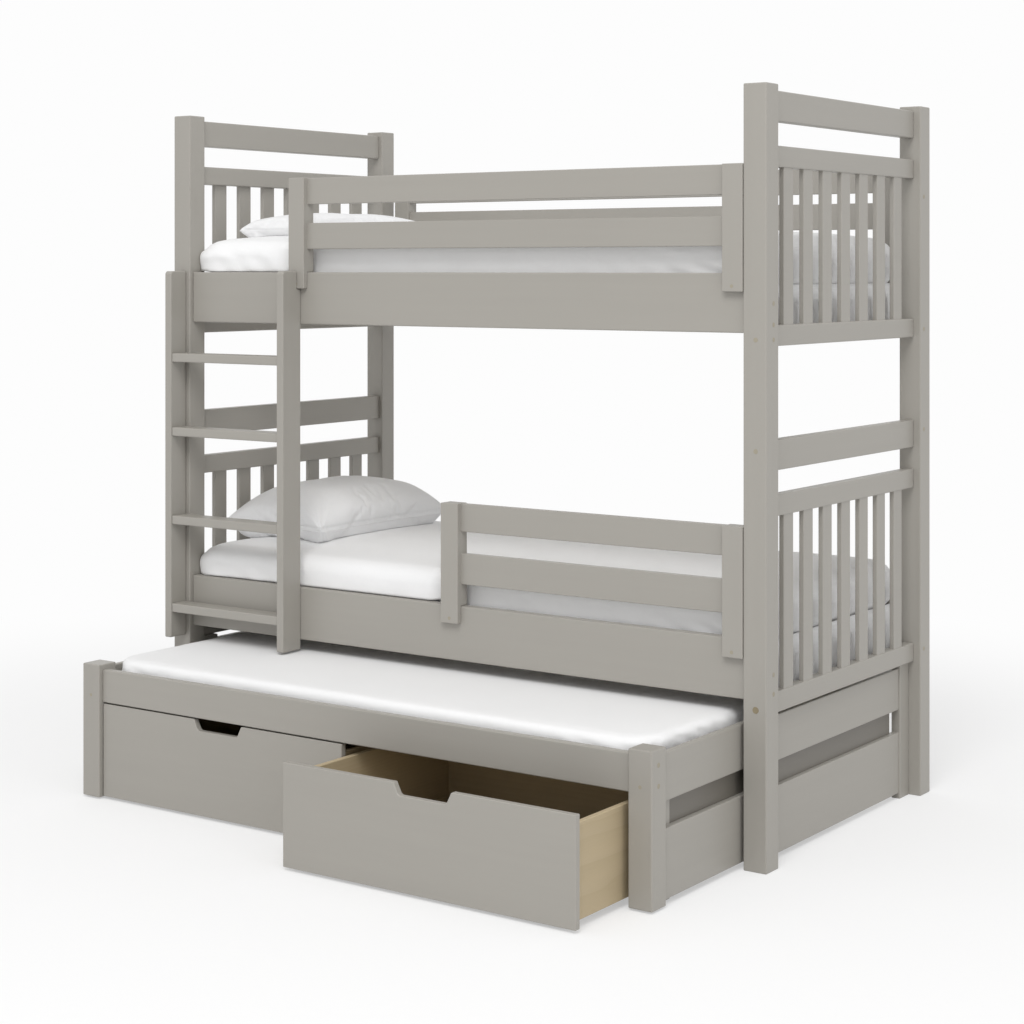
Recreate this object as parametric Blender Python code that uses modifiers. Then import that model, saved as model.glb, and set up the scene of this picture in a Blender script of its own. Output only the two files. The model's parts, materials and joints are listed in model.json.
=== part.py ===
"""A triple bunk bed: two bunks, a ladder, and a trundle bed that rolls out with two drawers under it.

Metres, +Z up. X runs along the bed and Y from front to back. Places along X are measured inward from an
end of the bed, and places along Y back from the front faces of the bunk's posts. The origin is on the
floor, in the middle of the object as it stands: the trundle part way out, and one drawer open.
"""

from math import cos, pi, radians, sin

import bmesh
import bpy
from mathutils import Matrix, Vector

# Clearances, overlaps inside joined pieces, and eased edges
FIT = 0.0003
OVERLAP = 0.004
EASE = 0.003
SMALL_EASE = 0.0015
EASE_STEPS = {EASE: 2, SMALL_EASE: 1}
ARC_STEPS = 6
WELD = 0.00003
SHARP_DEGREES = 40
FLAT_DEGREES = 1

# Bunk as a whole
BED_LENGTH = 2.012
BED_DEPTH = 0.990
BED_HEIGHT = 1.955
POST_SIDE = 0.065

# Side rails, each with a ledger inside it for the slats
RAIL_HEIGHT = 0.150
RAIL_THICK = 0.030
RAIL_INSET = 0.013
UPPER_RAIL_DROP = 0.471
LOWER_RAIL_ABOVE_TRUNDLE = 0.044
LEDGER_HEIGHT = 0.030
LEDGER_WIDTH = 0.022
LEDGER_END_GAP = 0.020

# Ends: a top rail, and under it a panel of upright slats between two rails
END_INSET = 0.021
END_THICK = 0.031
TOP_RAIL_HEIGHT = 0.077
TOP_RAIL_GAP = 0.061
PANEL_HEAD_HEIGHT = 0.054
PANEL_FOOT_HEIGHT = 0.053
UPPER_TOP_RAIL_DROP = 0.013
UPPER_FOOT_BELOW_RAIL = 0.034
BETWEEN_ENDS_GAP = 0.235
LOWER_FOOT_BELOW_RAIL = 0.042
END_SLAT_COUNT = 7
END_SLAT_WIDTH = 0.052
END_SLAT_POST_GAP = 0.074
END_SLAT_THICK = 0.014
END_SLAT_SETBACK = 0.003
TENON = 0.020

# Guards: two boards between uprights that are rabbeted over the side rail. Boards are (drop from the
# uprights' top, height)
UPRIGHT_WIDTH = 0.058
UPRIGHT_BACK_GAP = 0.002
TONGUE_THICK = 0.017
TONGUE_LENGTH = 0.047
GUARD_BOARD_THICK = 0.020
GUARD_POST_GAP = 0.0005
UPPER_GUARD_START = 0.459
UPPER_GUARD_RISE = 0.273
UPPER_GUARD_BOARDS = ((0.131, 0.075), (0.001, 0.076))
LOWER_GUARD_START = 1.010
LOWER_GUARD_RISE = 0.281
LOWER_GUARD_BOARDS = ((0.137, 0.084), (0.001, 0.076))
BACK_GUARD_START = 0.100
BACK_GUARD_RISE = 0.306
BACK_GUARD_BOARDS = ((0.106, 0.076), (0.001, 0.076))

# Ladder, fixed to the front
LADDER_START = 0.026
LADDER_WIDTH = 0.467
LADDER_ABOVE_TRUNDLE = 0.016
LADDER_ABOVE_RAIL = 0.003
STILE_WIDTH = 0.025
STILE_REACH = 0.067
STILE_ROUND = 0.010
TREAD_THICK = 0.026
TREAD_INSET = 0.004
TREAD_BACK_GAP = 0.003
TREAD_TOP_SHARES = (0.093, 0.333, 0.574, 0.776)

# Slat bases and mattresses of the bunks
BASE_SLAT_COUNT = 10
BASE_SLAT_WIDTH = 0.070
BASE_SLAT_THICK = 0.018
BASE_SIDE_GAP = 0.002
BASE_END_MARGIN = 0.030
BATTEN_WIDTH = 0.045
BATTEN_THICK = 0.014
BATTEN_PLACE_SHARES = (0.25, 0.75)
BASE_BELOW_RAIL_TOP = 0.055
MATTRESS_END_GAP = 0.004
MATTRESS_SIDE_GAP = 0.002
MATTRESS_HEIGHT = 0.158
MATTRESS_CORNER = 0.060
MATTRESS_EDGE = 0.042

# Pillows
PILLOW_LENGTH = 0.640
PILLOW_WIDTH = 0.400
LOWER_PILLOW_HEIGHT = 0.180
UPPER_PILLOW_HEIGHT = 0.090
PILLOW_END_GAP = 0.020
LOWER_PILLOW_BACK = 0.130
UPPER_PILLOW_BACK = 0.075

# Soft forms: how a mattress and a pillow swell and draw in
CROWN = 0.008
CROWN_RUN = 0.120
CROWN_STEPS = 3
WAIST = 0.003
CORNER_STEPS = 6
PILLOW_GRID = (12, 16)
PILLOW_DRAW_SHARE = 0.07
PILLOW_SEAM_SHARE = 0.38
PILLOW_BELLY_SHARE = 0.55

# Guide frames, fixed between the posts at each end, beside the trundle. A thin panel closes most of
# the slot between the board and the rail
GUIDE_INNER_GAP = 0.003
GUIDE_THICK = 0.022
GUIDE_UPRIGHT_PROUD = 0.004
GUIDE_UPRIGHT_WIDTH = 0.060
GUIDE_UPRIGHT_GAP = 0.001
GUIDE_BOARD_LIFT = 0.015
GUIDE_SLOT = 0.063
GUIDE_RAIL_HEIGHT = 0.117
GUIDE_RAIL_TOP_GAP = 0.013
GUIDE_PANEL_THICK = 0.008
GUIDE_PANEL_INSET = 0.001
GUIDE_PANEL_LAP = 0.010
GUIDE_PANEL_BACK_GAP = 0.032

# Trundle bed
TRUNDLE_OUT = 0.434
TRUNDLE_SIDE_GAP = 0.002
TRUNDLE_DEPTH = 0.974
TRUNDLE_POST_SIDE = 0.065
TRUNDLE_POST_TOP = 0.378
TRUNDLE_LIFT = 0.005
TRUNDLE_RAIL_INSET = 0.013
TRUNDLE_RAIL_THICK = 0.022
TRUNDLE_RAIL_DROP = 0.014
TRUNDLE_RAIL_HEIGHT = 0.092
TRUNDLE_END_INSET = 0.008
TRUNDLE_END_THICK = 0.018
TRUNDLE_END_RAIL_DROP = 0.017
TRUNDLE_END_RAIL_HEIGHT = 0.115
TRUNDLE_END_SLOT = 0.063
TRUNDLE_BOARD_LIFT = 0.015
TRUNDLE_BACKING_THICK = 0.009
TRUNDLE_BACKING_LAP = 0.012
CLEAT_WIDTH = 0.050
CLEAT_THICK = 0.018
CLEAT_POST_GAP = 0.003
CLEAT_ABOVE_RAIL_FOOT = 0.016
TRUNDLE_LEDGER_HEIGHT = 0.014
TRUNDLE_LEDGER_WIDTH = 0.018
LEDGER_ABOVE_RAIL_FOOT = 0.002
TRUNDLE_SLAT_THICK = 0.012
TRUNDLE_BASE_MARGIN = 0.045
TRUNDLE_MATTRESS_HEIGHT = 0.076
TRUNDLE_MATTRESS_CORNER = 0.092
TRUNDLE_MATTRESS_EDGE = 0.022
TRUNDLE_MATTRESS_END_GAP = 0.014
TRUNDLE_MATTRESS_SIDE_GAP = 0.004

# Drawers, and how far each stands open
LEFT_DRAWER_OUT = 0.0
RIGHT_DRAWER_OUT = 0.231
DRAWER_GAP = 0.003
DRAWER_LIFT = 0.008
DRAWER_TOP_GAP = 0.004
DRAWER_FRONT_THICK = 0.018
BOX_INSET = 0.015
BOX_DEPTH = 0.650
BOX_WALL = 0.015
BOX_LIFT = 0.020
BOX_TOP_DROP = 0.026
BOX_FLOOR_THICK = 0.008
BOX_BACK_DROP = 0.004
HANDLE_TOP = 0.172
HANDLE_FOOT = 0.142
HANDLE_DEPTH = 0.030
HANDLE_ROUND = 0.012

# Wheels, each on a pin with a head, in a bracket or straight in the trundle's end
TRUNDLE_WHEEL_RADIUS = 0.025
TRUNDLE_WHEEL_WIDTH = 0.020
TRUNDLE_PIN_RADIUS = 0.005
DRAWER_WHEEL_RADIUS = 0.020
DRAWER_WHEEL_WIDTH = 0.014
DRAWER_PIN_RADIUS = 0.004
PIN_HEAD_REACH = 0.003
PIN_HEAD_THICK = 0.002
WHEEL_PLAY = 0.001
TYRE_ROUND = 0.003
HUB_WIDTH = 0.006
HUB_RECESS = 0.002
WHEEL_STEPS = 16
PIN_STEPS = 12
BRACKET_THICK = 0.010
BRACKET_WIDTH = 0.028
BRACKET_BELOW_PIN = 0.008
WHEEL_HEADROOM = 0.007
WHEEL_END_MARGIN = 0.060
WHEEL_SIDE_MARGIN = 0.012

# Finishes: colour, roughness and metallic value
PAINT = ((0.47, 0.45, 0.41), 0.45, 0.0)
BARE_WOOD = ((0.66, 0.53, 0.34), 0.60, 0.0)
WHITE_COVER = ((0.86, 0.86, 0.86), 0.90, 0.0)
PILLOW_COVER = ((0.80, 0.80, 0.81), 0.90, 0.0)
WHEEL_PLASTIC = ((0.10, 0.10, 0.10), 0.50, 0.0)

# Levels worked out for the bunk
UPPER_RAIL_TOP = BED_HEIGHT - UPPER_RAIL_DROP
LOWER_RAIL_LIFT = TRUNDLE_POST_TOP + LOWER_RAIL_ABOVE_TRUNDLE
LOWER_RAIL_TOP = LOWER_RAIL_LIFT + RAIL_HEIGHT
UPPER_TOP_RAIL = BED_HEIGHT - UPPER_TOP_RAIL_DROP - TOP_RAIL_HEIGHT
UPPER_PANEL = (UPPER_RAIL_TOP - RAIL_HEIGHT - UPPER_FOOT_BELOW_RAIL, UPPER_TOP_RAIL - TOP_RAIL_GAP)
LOWER_TOP_RAIL = UPPER_PANEL[0] - BETWEEN_ENDS_GAP - TOP_RAIL_HEIGHT
LOWER_PANEL = (LOWER_RAIL_LIFT - LOWER_FOOT_BELOW_RAIL, LOWER_TOP_RAIL - TOP_RAIL_GAP)
END_INNER = END_INSET + END_THICK
RAIL_INNER = RAIL_INSET + RAIL_THICK
END_SLATS_SPAN = BED_DEPTH - 2 * (POST_SIDE + END_SLAT_POST_GAP)
END_SLAT_PITCH = (END_SLATS_SPAN - END_SLAT_WIDTH) / (END_SLAT_COUNT - 1)
LADDER_BOTTOM = TRUNDLE_POST_TOP + LADDER_ABOVE_TRUNDLE

# Places worked out for the guide frames
GUIDE_INSET = POST_SIDE - GUIDE_INNER_GAP - GUIDE_THICK
GUIDE_RAIL_LIFT = LOWER_PANEL[0] - GUIDE_RAIL_TOP_GAP - GUIDE_RAIL_HEIGHT
GUIDE_BOARD_TOP = GUIDE_RAIL_LIFT - GUIDE_SLOT

# Places worked out for the trundle and its drawers
TRUNDLE_START = POST_SIDE + TRUNDLE_SIDE_GAP
TRUNDLE_INNER = TRUNDLE_START + TRUNDLE_POST_SIDE
TRUNDLE_END_OUTER = TRUNDLE_START + TRUNDLE_END_INSET
TRUNDLE_END_INNER = TRUNDLE_END_OUTER + TRUNDLE_END_THICK
TRUNDLE_RAIL_INNER = TRUNDLE_RAIL_INSET + TRUNDLE_RAIL_THICK
TRUNDLE_RAIL_LIFT = TRUNDLE_POST_TOP - TRUNDLE_RAIL_DROP - TRUNDLE_RAIL_HEIGHT
TRUNDLE_END_RAIL_LIFT = TRUNDLE_POST_TOP - TRUNDLE_END_RAIL_DROP - TRUNDLE_END_RAIL_HEIGHT
TRUNDLE_BOARD_TOP = TRUNDLE_END_RAIL_LIFT - TRUNDLE_END_SLOT
TRUNDLE_LEDGER_TOP = TRUNDLE_RAIL_LIFT + LEDGER_ABOVE_RAIL_FOOT + TRUNDLE_LEDGER_HEIGHT
TRUNDLE_BASE_TOP = TRUNDLE_LEDGER_TOP + FIT + TRUNDLE_SLAT_THICK
DRAWER_TOP = TRUNDLE_RAIL_LIFT - DRAWER_TOP_GAP
DRAWER_WIDTH = (BED_LENGTH - 2 * TRUNDLE_INNER - 3 * DRAWER_GAP) / 2
BOX_TOP = DRAWER_TOP - BOX_TOP_DROP
BOX_FLOOR_LIFT = 2 * DRAWER_WHEEL_RADIUS + WHEEL_HEADROOM

# Front plane of the bunk's posts, which leaves the origin in the middle of the whole footprint
FRONT_REACH = TRUNDLE_OUT + max(max(LEFT_DRAWER_OUT, RIGHT_DRAWER_OUT) - TRUNDLE_RAIL_INSET, 0)
BACK_REACH = BED_DEPTH + max(TONGUE_THICK - RAIL_INSET, 0)
BUNK_FRONT = (FRONT_REACH - BACK_REACH) / 2

SIDES = ((-1, "left"), (1, "right"))


def end_x(side, inset):
    """X at a distance inward from the left (-1) or right (+1) end of the bed."""
    return side * (BED_LENGTH / 2 - inset)


def from_left(distance):
    return end_x(-1, distance)


def bunk_y(back):
    return BUNK_FRONT + back


def back_y(inset):
    """Y at a distance inward from the back faces of the bunk's posts."""
    return BUNK_FRONT + BED_DEPTH - inset


def trundle_y(back):
    return bunk_y(back - TRUNDLE_OUT)


def trundle_back_y(inset):
    """Y at a distance inward from the back faces of the trundle's posts."""
    return trundle_y(TRUNDLE_DEPTH - inset)


def clear_scene():
    for obj in list(bpy.data.objects):
        bpy.data.objects.remove(obj, do_unlink=True)


def new_collection(name, hidden):
    made = bpy.data.collections.new(name)
    bpy.context.scene.collection.children.link(made)
    made.hide_render = hidden
    return made


def new_finish(name, finish):
    colour, roughness, metallic = finish
    material = bpy.data.materials.new(name)
    material.use_nodes = True
    shader = material.node_tree.nodes["Principled BSDF"]
    shader.inputs["Base Color"].default_value = (*colour, 1)
    shader.inputs["Roughness"].default_value = roughness
    shader.inputs["Metallic"].default_value = metallic
    return material


def mesh_from(bm, name):
    bmesh.ops.recalc_face_normals(bm, faces=bm.faces)
    if bm.calc_volume(signed=True) < 0:
        bmesh.ops.reverse_faces(bm, faces=bm.faces)
    mesh = bpy.data.meshes.new(name)
    bm.to_mesh(mesh)
    bm.free()
    return mesh


def add_bar(bm, x, y, z, ease):
    """One closed bar between the given limits, with its edges eased."""
    low = Vector((min(x), min(y), min(z)))
    high = Vector((max(x), max(y), max(z)))
    placed = Matrix.Translation((low + high) / 2) @ Matrix.Diagonal((*(high - low), 1))
    corners = bmesh.ops.create_cube(bm, size=1, matrix=placed)["verts"]
    edges = {edge for corner in corners for edge in corner.link_edges}
    steps = EASE_STEPS[ease]
    bmesh.ops.bevel(bm, geom=list(edges), offset=ease, segments=steps, profile=0.5, affect="EDGES")


def bars_mesh(name, bars, ease):
    bm = bmesh.new()
    for x, y, z in bars:
        add_bar(bm, x, y, z, ease)
    return mesh_from(bm, name)


def outline_mesh(name, outline, width, ease):
    """A flat outline as a filled 2D curve of the given width, centred, made a mesh with eased edges."""
    curve = bpy.data.curves.new(name, "CURVE")
    curve.dimensions = "2D"
    curve.fill_mode = "BOTH"
    curve.extrude = width / 2
    spline = curve.splines.new("POLY")
    spline.points.add(len(outline) - 1)
    for point, (across, up) in zip(spline.points, outline):
        point.co = (across, up, 0, 1)
    spline.use_cyclic_u = True
    flat = bpy.data.objects.new(name, curve)
    PARTS.objects.link(flat)
    bpy.context.view_layer.update()
    solid = bpy.data.meshes.new_from_object(flat.evaluated_get(bpy.context.evaluated_depsgraph_get()))
    bpy.data.objects.remove(flat, do_unlink=True)
    bm = bmesh.new()
    bm.from_mesh(solid)
    bmesh.ops.remove_doubles(bm, verts=bm.verts, dist=WELD)
    bmesh.ops.dissolve_limit(bm, angle_limit=radians(FLAT_DEGREES), verts=bm.verts, edges=bm.edges)
    bmesh.ops.recalc_face_normals(bm, faces=bm.faces)
    sharp = [edge for edge in bm.edges if edge.calc_face_angle_signed(0) > radians(SHARP_DEGREES)]
    bmesh.ops.bevel(bm, geom=sharp, offset=ease, segments=1, profile=0.5, affect="EDGES")
    return mesh_from(bm, name)


def stood_across(mesh, x):
    """Turns an outline mesh, drawn in Y and Z, so that its width runs along X between the limits."""
    mesh.transform(Matrix(((0, 0, 1, sum(x) / 2), (1, 0, 0, 0), (0, 1, 0, 0), (0, 0, 0, 1))))
    return mesh


def stood_along(mesh, y):
    """Turns an outline mesh, drawn in X and Z, so that its width runs along Y between the limits."""
    mesh.transform(Matrix(((1, 0, 0, 0), (0, 0, -1, sum(y) / 2), (0, 1, 0, 0), (0, 0, 0, 1))))
    return mesh


def place(name, mesh, finish, carrier=None, origin=None):
    """Makes the object with its origin at its middle, or at the given point, on the carrier that moves it."""
    if origin is None:
        low = Vector([min(vertex.co[i] for vertex in mesh.vertices) for i in range(3)])
        high = Vector([max(vertex.co[i] for vertex in mesh.vertices) for i in range(3)])
        origin = (low + high) / 2
    mesh.transform(Matrix.Translation(-Vector(origin)))
    mesh.materials.append(new_finish(name, finish))
    obj = bpy.data.objects.new(name, mesh)
    PARTS.objects.link(obj)
    obj.parent = carrier
    obj.location = Vector(origin) - carrier_place(carrier)
    return obj


def carrier_place(carrier):
    total = Vector((0, 0, 0))
    while carrier is not None:
        total += carrier.location
        carrier = carrier.parent
    return total


def new_carrier(name, location, parent=None):
    """An empty that carries the pieces which move together."""
    carrier = bpy.data.objects.new(name, None)
    PARTS.objects.link(carrier)
    carrier.parent = parent
    carrier.location = Vector(location) - carrier_place(parent)
    return carrier


def join(obj, mesh):
    """Joins a shape, given in world places, to the object."""
    helper = bpy.data.objects.new(mesh.name + "_shape", mesh)
    JOINING.objects.link(helper)
    helper.hide_render = True
    helper.display_type = "WIRE"
    boolean = obj.modifiers.new(mesh.name, "BOOLEAN")
    boolean.operation = "UNION"
    boolean.solver = "EXACT"
    boolean.object = helper


def make_bar(name, x, y, z, carrier=None):
    return place(name, bars_mesh(name, [(x, y, z)], EASE), PAINT, carrier)


def make_posts(side, side_name):
    x = (end_x(side, 0), end_x(side, POST_SIDE))
    make_bar(f"post_front_{side_name}", x, (bunk_y(0), bunk_y(POST_SIDE)), (0, BED_HEIGHT))
    make_bar(f"post_back_{side_name}", x, (back_y(0), back_y(POST_SIDE)), (0, BED_HEIGHT))


def make_end(level, side, side_name, top_rail, panel):
    """A top rail, and under it a glued panel: two rails with slats tenoned in near their outer faces."""
    x = (end_x(side, END_INSET), end_x(side, END_INNER))
    y = (bunk_y(POST_SIDE + FIT), back_y(POST_SIDE + FIT))
    make_bar(f"end_top_rail_{level}_{side_name}", x, y, (top_rail, top_rail + TOP_RAIL_HEIGHT))
    foot, head = panel
    name = f"end_panel_{level}_{side_name}"
    rails = [(x, y, (foot, foot + PANEL_FOOT_HEIGHT)), (x, y, (head - PANEL_HEAD_HEIGHT, head))]
    rail_pair = place(name, bars_mesh(name, rails, EASE), PAINT)
    slat_outer = END_INSET + END_SLAT_SETBACK
    slat_x = (end_x(side, slat_outer), end_x(side, slat_outer + END_SLAT_THICK))
    slat_z = (foot + PANEL_FOOT_HEIGHT - TENON, head - PANEL_HEAD_HEIGHT + TENON)
    slats = []
    for i in range(END_SLAT_COUNT):
        middle_y = bunk_y(BED_DEPTH / 2) + (i - (END_SLAT_COUNT - 1) / 2) * END_SLAT_PITCH
        slats.append((slat_x, (middle_y - END_SLAT_WIDTH / 2, middle_y + END_SLAT_WIDTH / 2), slat_z))
    join(rail_pair, bars_mesh(name + "_slats", slats, SMALL_EASE))


def make_side_rail(level, face, top):
    """A deep rail between two posts, with a ledger along its inner face for the slat base."""
    outward = bunk_y if face == "front" else back_y
    x = (from_left(POST_SIDE + FIT), end_x(1, POST_SIDE + FIT))
    name = f"side_rail_{level}_{face}"
    rail = make_bar(name, x, (outward(RAIL_INSET), outward(RAIL_INNER)), (top - RAIL_HEIGHT, top))
    ledger_x = (from_left(POST_SIDE + LEDGER_END_GAP), end_x(1, POST_SIDE + LEDGER_END_GAP))
    ledger_y = (outward(RAIL_INNER - OVERLAP), outward(RAIL_INNER + LEDGER_WIDTH))
    ledger_top = top - BASE_BELOW_RAIL_TOP - BASE_SLAT_THICK - FIT
    ledger = (ledger_x, ledger_y, (ledger_top - LEDGER_HEIGHT, ledger_top))
    join(rail, bars_mesh(name + "_ledger", [ledger], SMALL_EASE))


def upright_outline(outward, rail_top, rise):
    """Section of a guard upright, which sits on the side rail. Its tongue laps down the rail's outer face."""
    face = outward(RAIL_INSET - TONGUE_THICK)
    tongue_back = outward(RAIL_INSET - FIT)
    back = outward(RAIL_INNER - UPRIGHT_BACK_GAP)
    seat = rail_top + FIT
    foot = rail_top - TONGUE_LENGTH
    head = rail_top + rise
    tongue = [(face, foot), (tongue_back, foot), (tongue_back, seat)]
    return tongue + [(back, seat), (back, head), (face, head)]


def make_guard(name, outward, x, rail_top, rise, boards):
    """A glued guard: two rabbeted uprights with boards between them, flush with the rail's outer face."""
    outline = upright_outline(outward, rail_top, rise)
    start, stop = x
    near = outline_mesh(name, outline, UPRIGHT_WIDTH, SMALL_EASE)
    guard = place(name, stood_across(near, (start, start + UPRIGHT_WIDTH)), PAINT)
    far = outline_mesh(name + "_far_upright", outline, UPRIGHT_WIDTH, SMALL_EASE)
    join(guard, stood_across(far, (stop - UPRIGHT_WIDTH, stop)))
    board_x = (start + UPRIGHT_WIDTH - TENON, stop - UPRIGHT_WIDTH + TENON)
    board_y = (outward(RAIL_INSET), outward(RAIL_INSET + GUARD_BOARD_THICK))
    tops = [(rail_top + rise - drop, height) for drop, height in boards]
    bars = [(board_x, board_y, (top - height, top)) for top, height in tops]
    join(guard, bars_mesh(name + "_boards", bars, SMALL_EASE))


def make_guards():
    stop = end_x(1, POST_SIDE + GUARD_POST_GAP)
    upper_x = (from_left(UPPER_GUARD_START), stop)
    make_guard("guard_upper_front", bunk_y, upper_x, UPPER_RAIL_TOP, UPPER_GUARD_RISE, UPPER_GUARD_BOARDS)
    lower_x = (from_left(LOWER_GUARD_START), stop)
    make_guard("guard_lower_front", bunk_y, lower_x, LOWER_RAIL_TOP, LOWER_GUARD_RISE, LOWER_GUARD_BOARDS)
    back_x = (from_left(BACK_GUARD_START), end_x(1, BACK_GUARD_START))
    make_guard("guard_upper_back", back_y, back_x, UPPER_RAIL_TOP, BACK_GUARD_RISE, BACK_GUARD_BOARDS)


def make_ladder():
    """Two stiles and four treads. The right stile is notched round the tongue of the guard's upright."""
    top = UPPER_RAIL_TOP + LADDER_ABOVE_RAIL
    left_x = (from_left(LADDER_START), from_left(LADDER_START + STILE_WIDTH))
    right_x = tuple(x + LADDER_WIDTH - STILE_WIDTH for x in left_x)
    front = bunk_y(-STILE_REACH)
    front_foot = Vector((front, LADDER_BOTTOM))
    front_head = Vector((front, top))
    left_back = bunk_y(-FIT)
    left_head = Vector((left_back, top))
    left_outline = [front_foot, (left_back, LADDER_BOTTOM), left_head]
    left_outline += rounded_corner(left_head, front_head, front_foot, STILE_ROUND)
    left = outline_mesh("ladder_stile_left", left_outline, STILE_WIDTH, EASE)
    place("ladder_stile_left", stood_across(left, left_x), PAINT)
    back = bunk_y(RAIL_INSET - FIT)
    notch_back = bunk_y(RAIL_INSET - TONGUE_THICK - FIT)
    notch_foot = UPPER_RAIL_TOP - TONGUE_LENGTH - FIT
    right_head = Vector((notch_back, top))
    right_outline = [front_foot, (back, LADDER_BOTTOM), (back, notch_foot)]
    right_outline += [(notch_back, notch_foot), right_head]
    right_outline += rounded_corner(right_head, front_head, front_foot, STILE_ROUND)
    right = outline_mesh("ladder_stile_right", right_outline, STILE_WIDTH, EASE)
    place("ladder_stile_right", stood_across(right, right_x), PAINT)
    tread_x = (max(left_x) + FIT, min(right_x) - FIT)
    tread_y = (front + TREAD_INSET, bunk_y(-TREAD_BACK_GAP))
    for number, share in enumerate(TREAD_TOP_SHARES, start=1):
        tread_top = LADDER_BOTTOM + share * (top - LADDER_BOTTOM)
        make_bar(f"ladder_tread_{number}", tread_x, tread_y, (tread_top - TREAD_THICK, tread_top))


def make_slat_base(name, inset, y, top, thick, carrier=None):
    """Slats laid across the bed and screwed to two battens under them."""
    start, stop = from_left(inset), end_x(1, inset)
    pitch = (stop - start - BASE_SLAT_WIDTH) / (BASE_SLAT_COUNT - 1)
    slats = []
    for i in range(BASE_SLAT_COUNT):
        slat_x = start + i * pitch
        slats.append(((slat_x, slat_x + BASE_SLAT_WIDTH), y, (top - thick, top)))
    base = place(name, bars_mesh(name, slats, SMALL_EASE), BARE_WOOD, carrier)
    batten_top = top - thick / 2
    battens = []
    for share in BATTEN_PLACE_SHARES:
        middle = min(y) + share * (max(y) - min(y))
        batten_y = (middle - BATTEN_WIDTH / 2, middle + BATTEN_WIDTH / 2)
        batten_z = (top - thick - BATTEN_THICK, batten_top)
        battens.append(((start + OVERLAP, stop - OVERLAP), batten_y, batten_z))
    join(base, bars_mesh(name + "_battens", battens, SMALL_EASE))


def rounded_ring(half_x, half_y, corner):
    """A ring of points round a rectangle with round corners, centred on the origin."""
    ring = []
    for quarter, (sx, sy) in enumerate(((1, 1), (-1, 1), (-1, -1), (1, -1))):
        for i in range(CORNER_STEPS):
            angle = (quarter + i / (CORNER_STEPS - 1)) * pi / 2
            x = sx * (half_x - corner) + corner * cos(angle)
            y = sy * (half_y - corner) + corner * sin(angle)
            ring.append((x, y))
    return ring


def mattress_rings(height, edge):
    """(inset, z) of each ring of a mattress, up its soft edges and drawn-in side and over its crown."""
    side_top = height - CROWN
    steps = [i / CROWN_STEPS for i in range(CROWN_STEPS + 1)]
    rings = [(edge * (1 - sin(s * pi / 2)), edge * (1 - cos(s * pi / 2))) for s in steps]
    rings.append((WAIST, side_top / 2))
    for s in steps:
        inset = edge * (1 - cos(s * pi / 2))
        rings.append((inset, side_top - edge * (1 - sin(s * pi / 2))))
    for s in steps[1:]:
        rings.append((edge + s * CROWN_RUN, side_top + CROWN * (1 - cos(s * pi)) / 2))
    return rings


def make_mattress(name, x, y, bottom, height, corner, edge, carrier=None):
    """A foam mattress: round corners, soft edges, sides drawn in a little, and a low crown."""
    half_x = (max(x) - min(x)) / 2
    half_y = (max(y) - min(y)) / 2
    middle = Vector((sum(x) / 2, sum(y) / 2, bottom))
    bm = bmesh.new()
    levels = []
    for inset, z in mattress_rings(height, edge):
        ring = rounded_ring(half_x - inset, half_y - inset, max(corner - inset, edge))
        levels.append([bm.verts.new(middle + Vector((px, py, z))) for px, py in ring])
    for lower, upper in zip(levels, levels[1:]):
        for i in range(len(lower)):
            j = (i + 1) % len(lower)
            bm.faces.new((lower[i], lower[j], upper[j], upper[i]))
    bm.faces.new(list(reversed(levels[0])))
    bm.faces.new(levels[-1])
    mesh = mesh_from(bm, name)
    mesh.shade_smooth()
    mesh.set_sharp_from_angle(angle=radians(SHARP_DEGREES))
    place(name, mesh, WHITE_COVER, carrier)


def pillow_point(u, v, height, above):
    """A point of the pillow's top or underside, with its edges drawn in between the four corners."""
    x = PILLOW_WIDTH / 2 * u * (1 - PILLOW_DRAW_SHARE * (1 - v * v))
    y = PILLOW_LENGTH / 2 * v * (1 - PILLOW_DRAW_SHARE * (1 - u * u))
    swell = ((1 - u**4) * (1 - v**4)) ** PILLOW_BELLY_SHARE
    seam = PILLOW_SEAM_SHARE * height
    z = seam + (height - seam) * swell if above else max(seam - height * swell, 0)
    return Vector((x, y, z))


def make_pillow(name, x_start, back, bottom, height):
    """A stuffed pillow, flat only where it rests on the mattress."""
    columns, rows = PILLOW_GRID
    middle = Vector((x_start + PILLOW_WIDTH / 2, bunk_y(back) + PILLOW_LENGTH / 2, bottom))
    bm = bmesh.new()
    sheets = []
    for above in (True, False):
        sheet = {}
        for i in range(columns + 1):
            for j in range(rows + 1):
                on_seam = i in (0, columns) or j in (0, rows)
                if sheets and on_seam:
                    sheet[i, j] = sheets[0][i, j]
                    continue
                u = sin((2 * i / columns - 1) * pi / 2)
                v = sin((2 * j / rows - 1) * pi / 2)
                sheet[i, j] = bm.verts.new(middle + pillow_point(u, v, height, above))
        for i in range(columns):
            for j in range(rows):
                bm.faces.new((sheet[i, j], sheet[i + 1, j], sheet[i + 1, j + 1], sheet[i, j + 1]))
        sheets.append(sheet)
    mesh = mesh_from(bm, name)
    mesh.shade_smooth()
    place(name, mesh, PILLOW_COVER)


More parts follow.
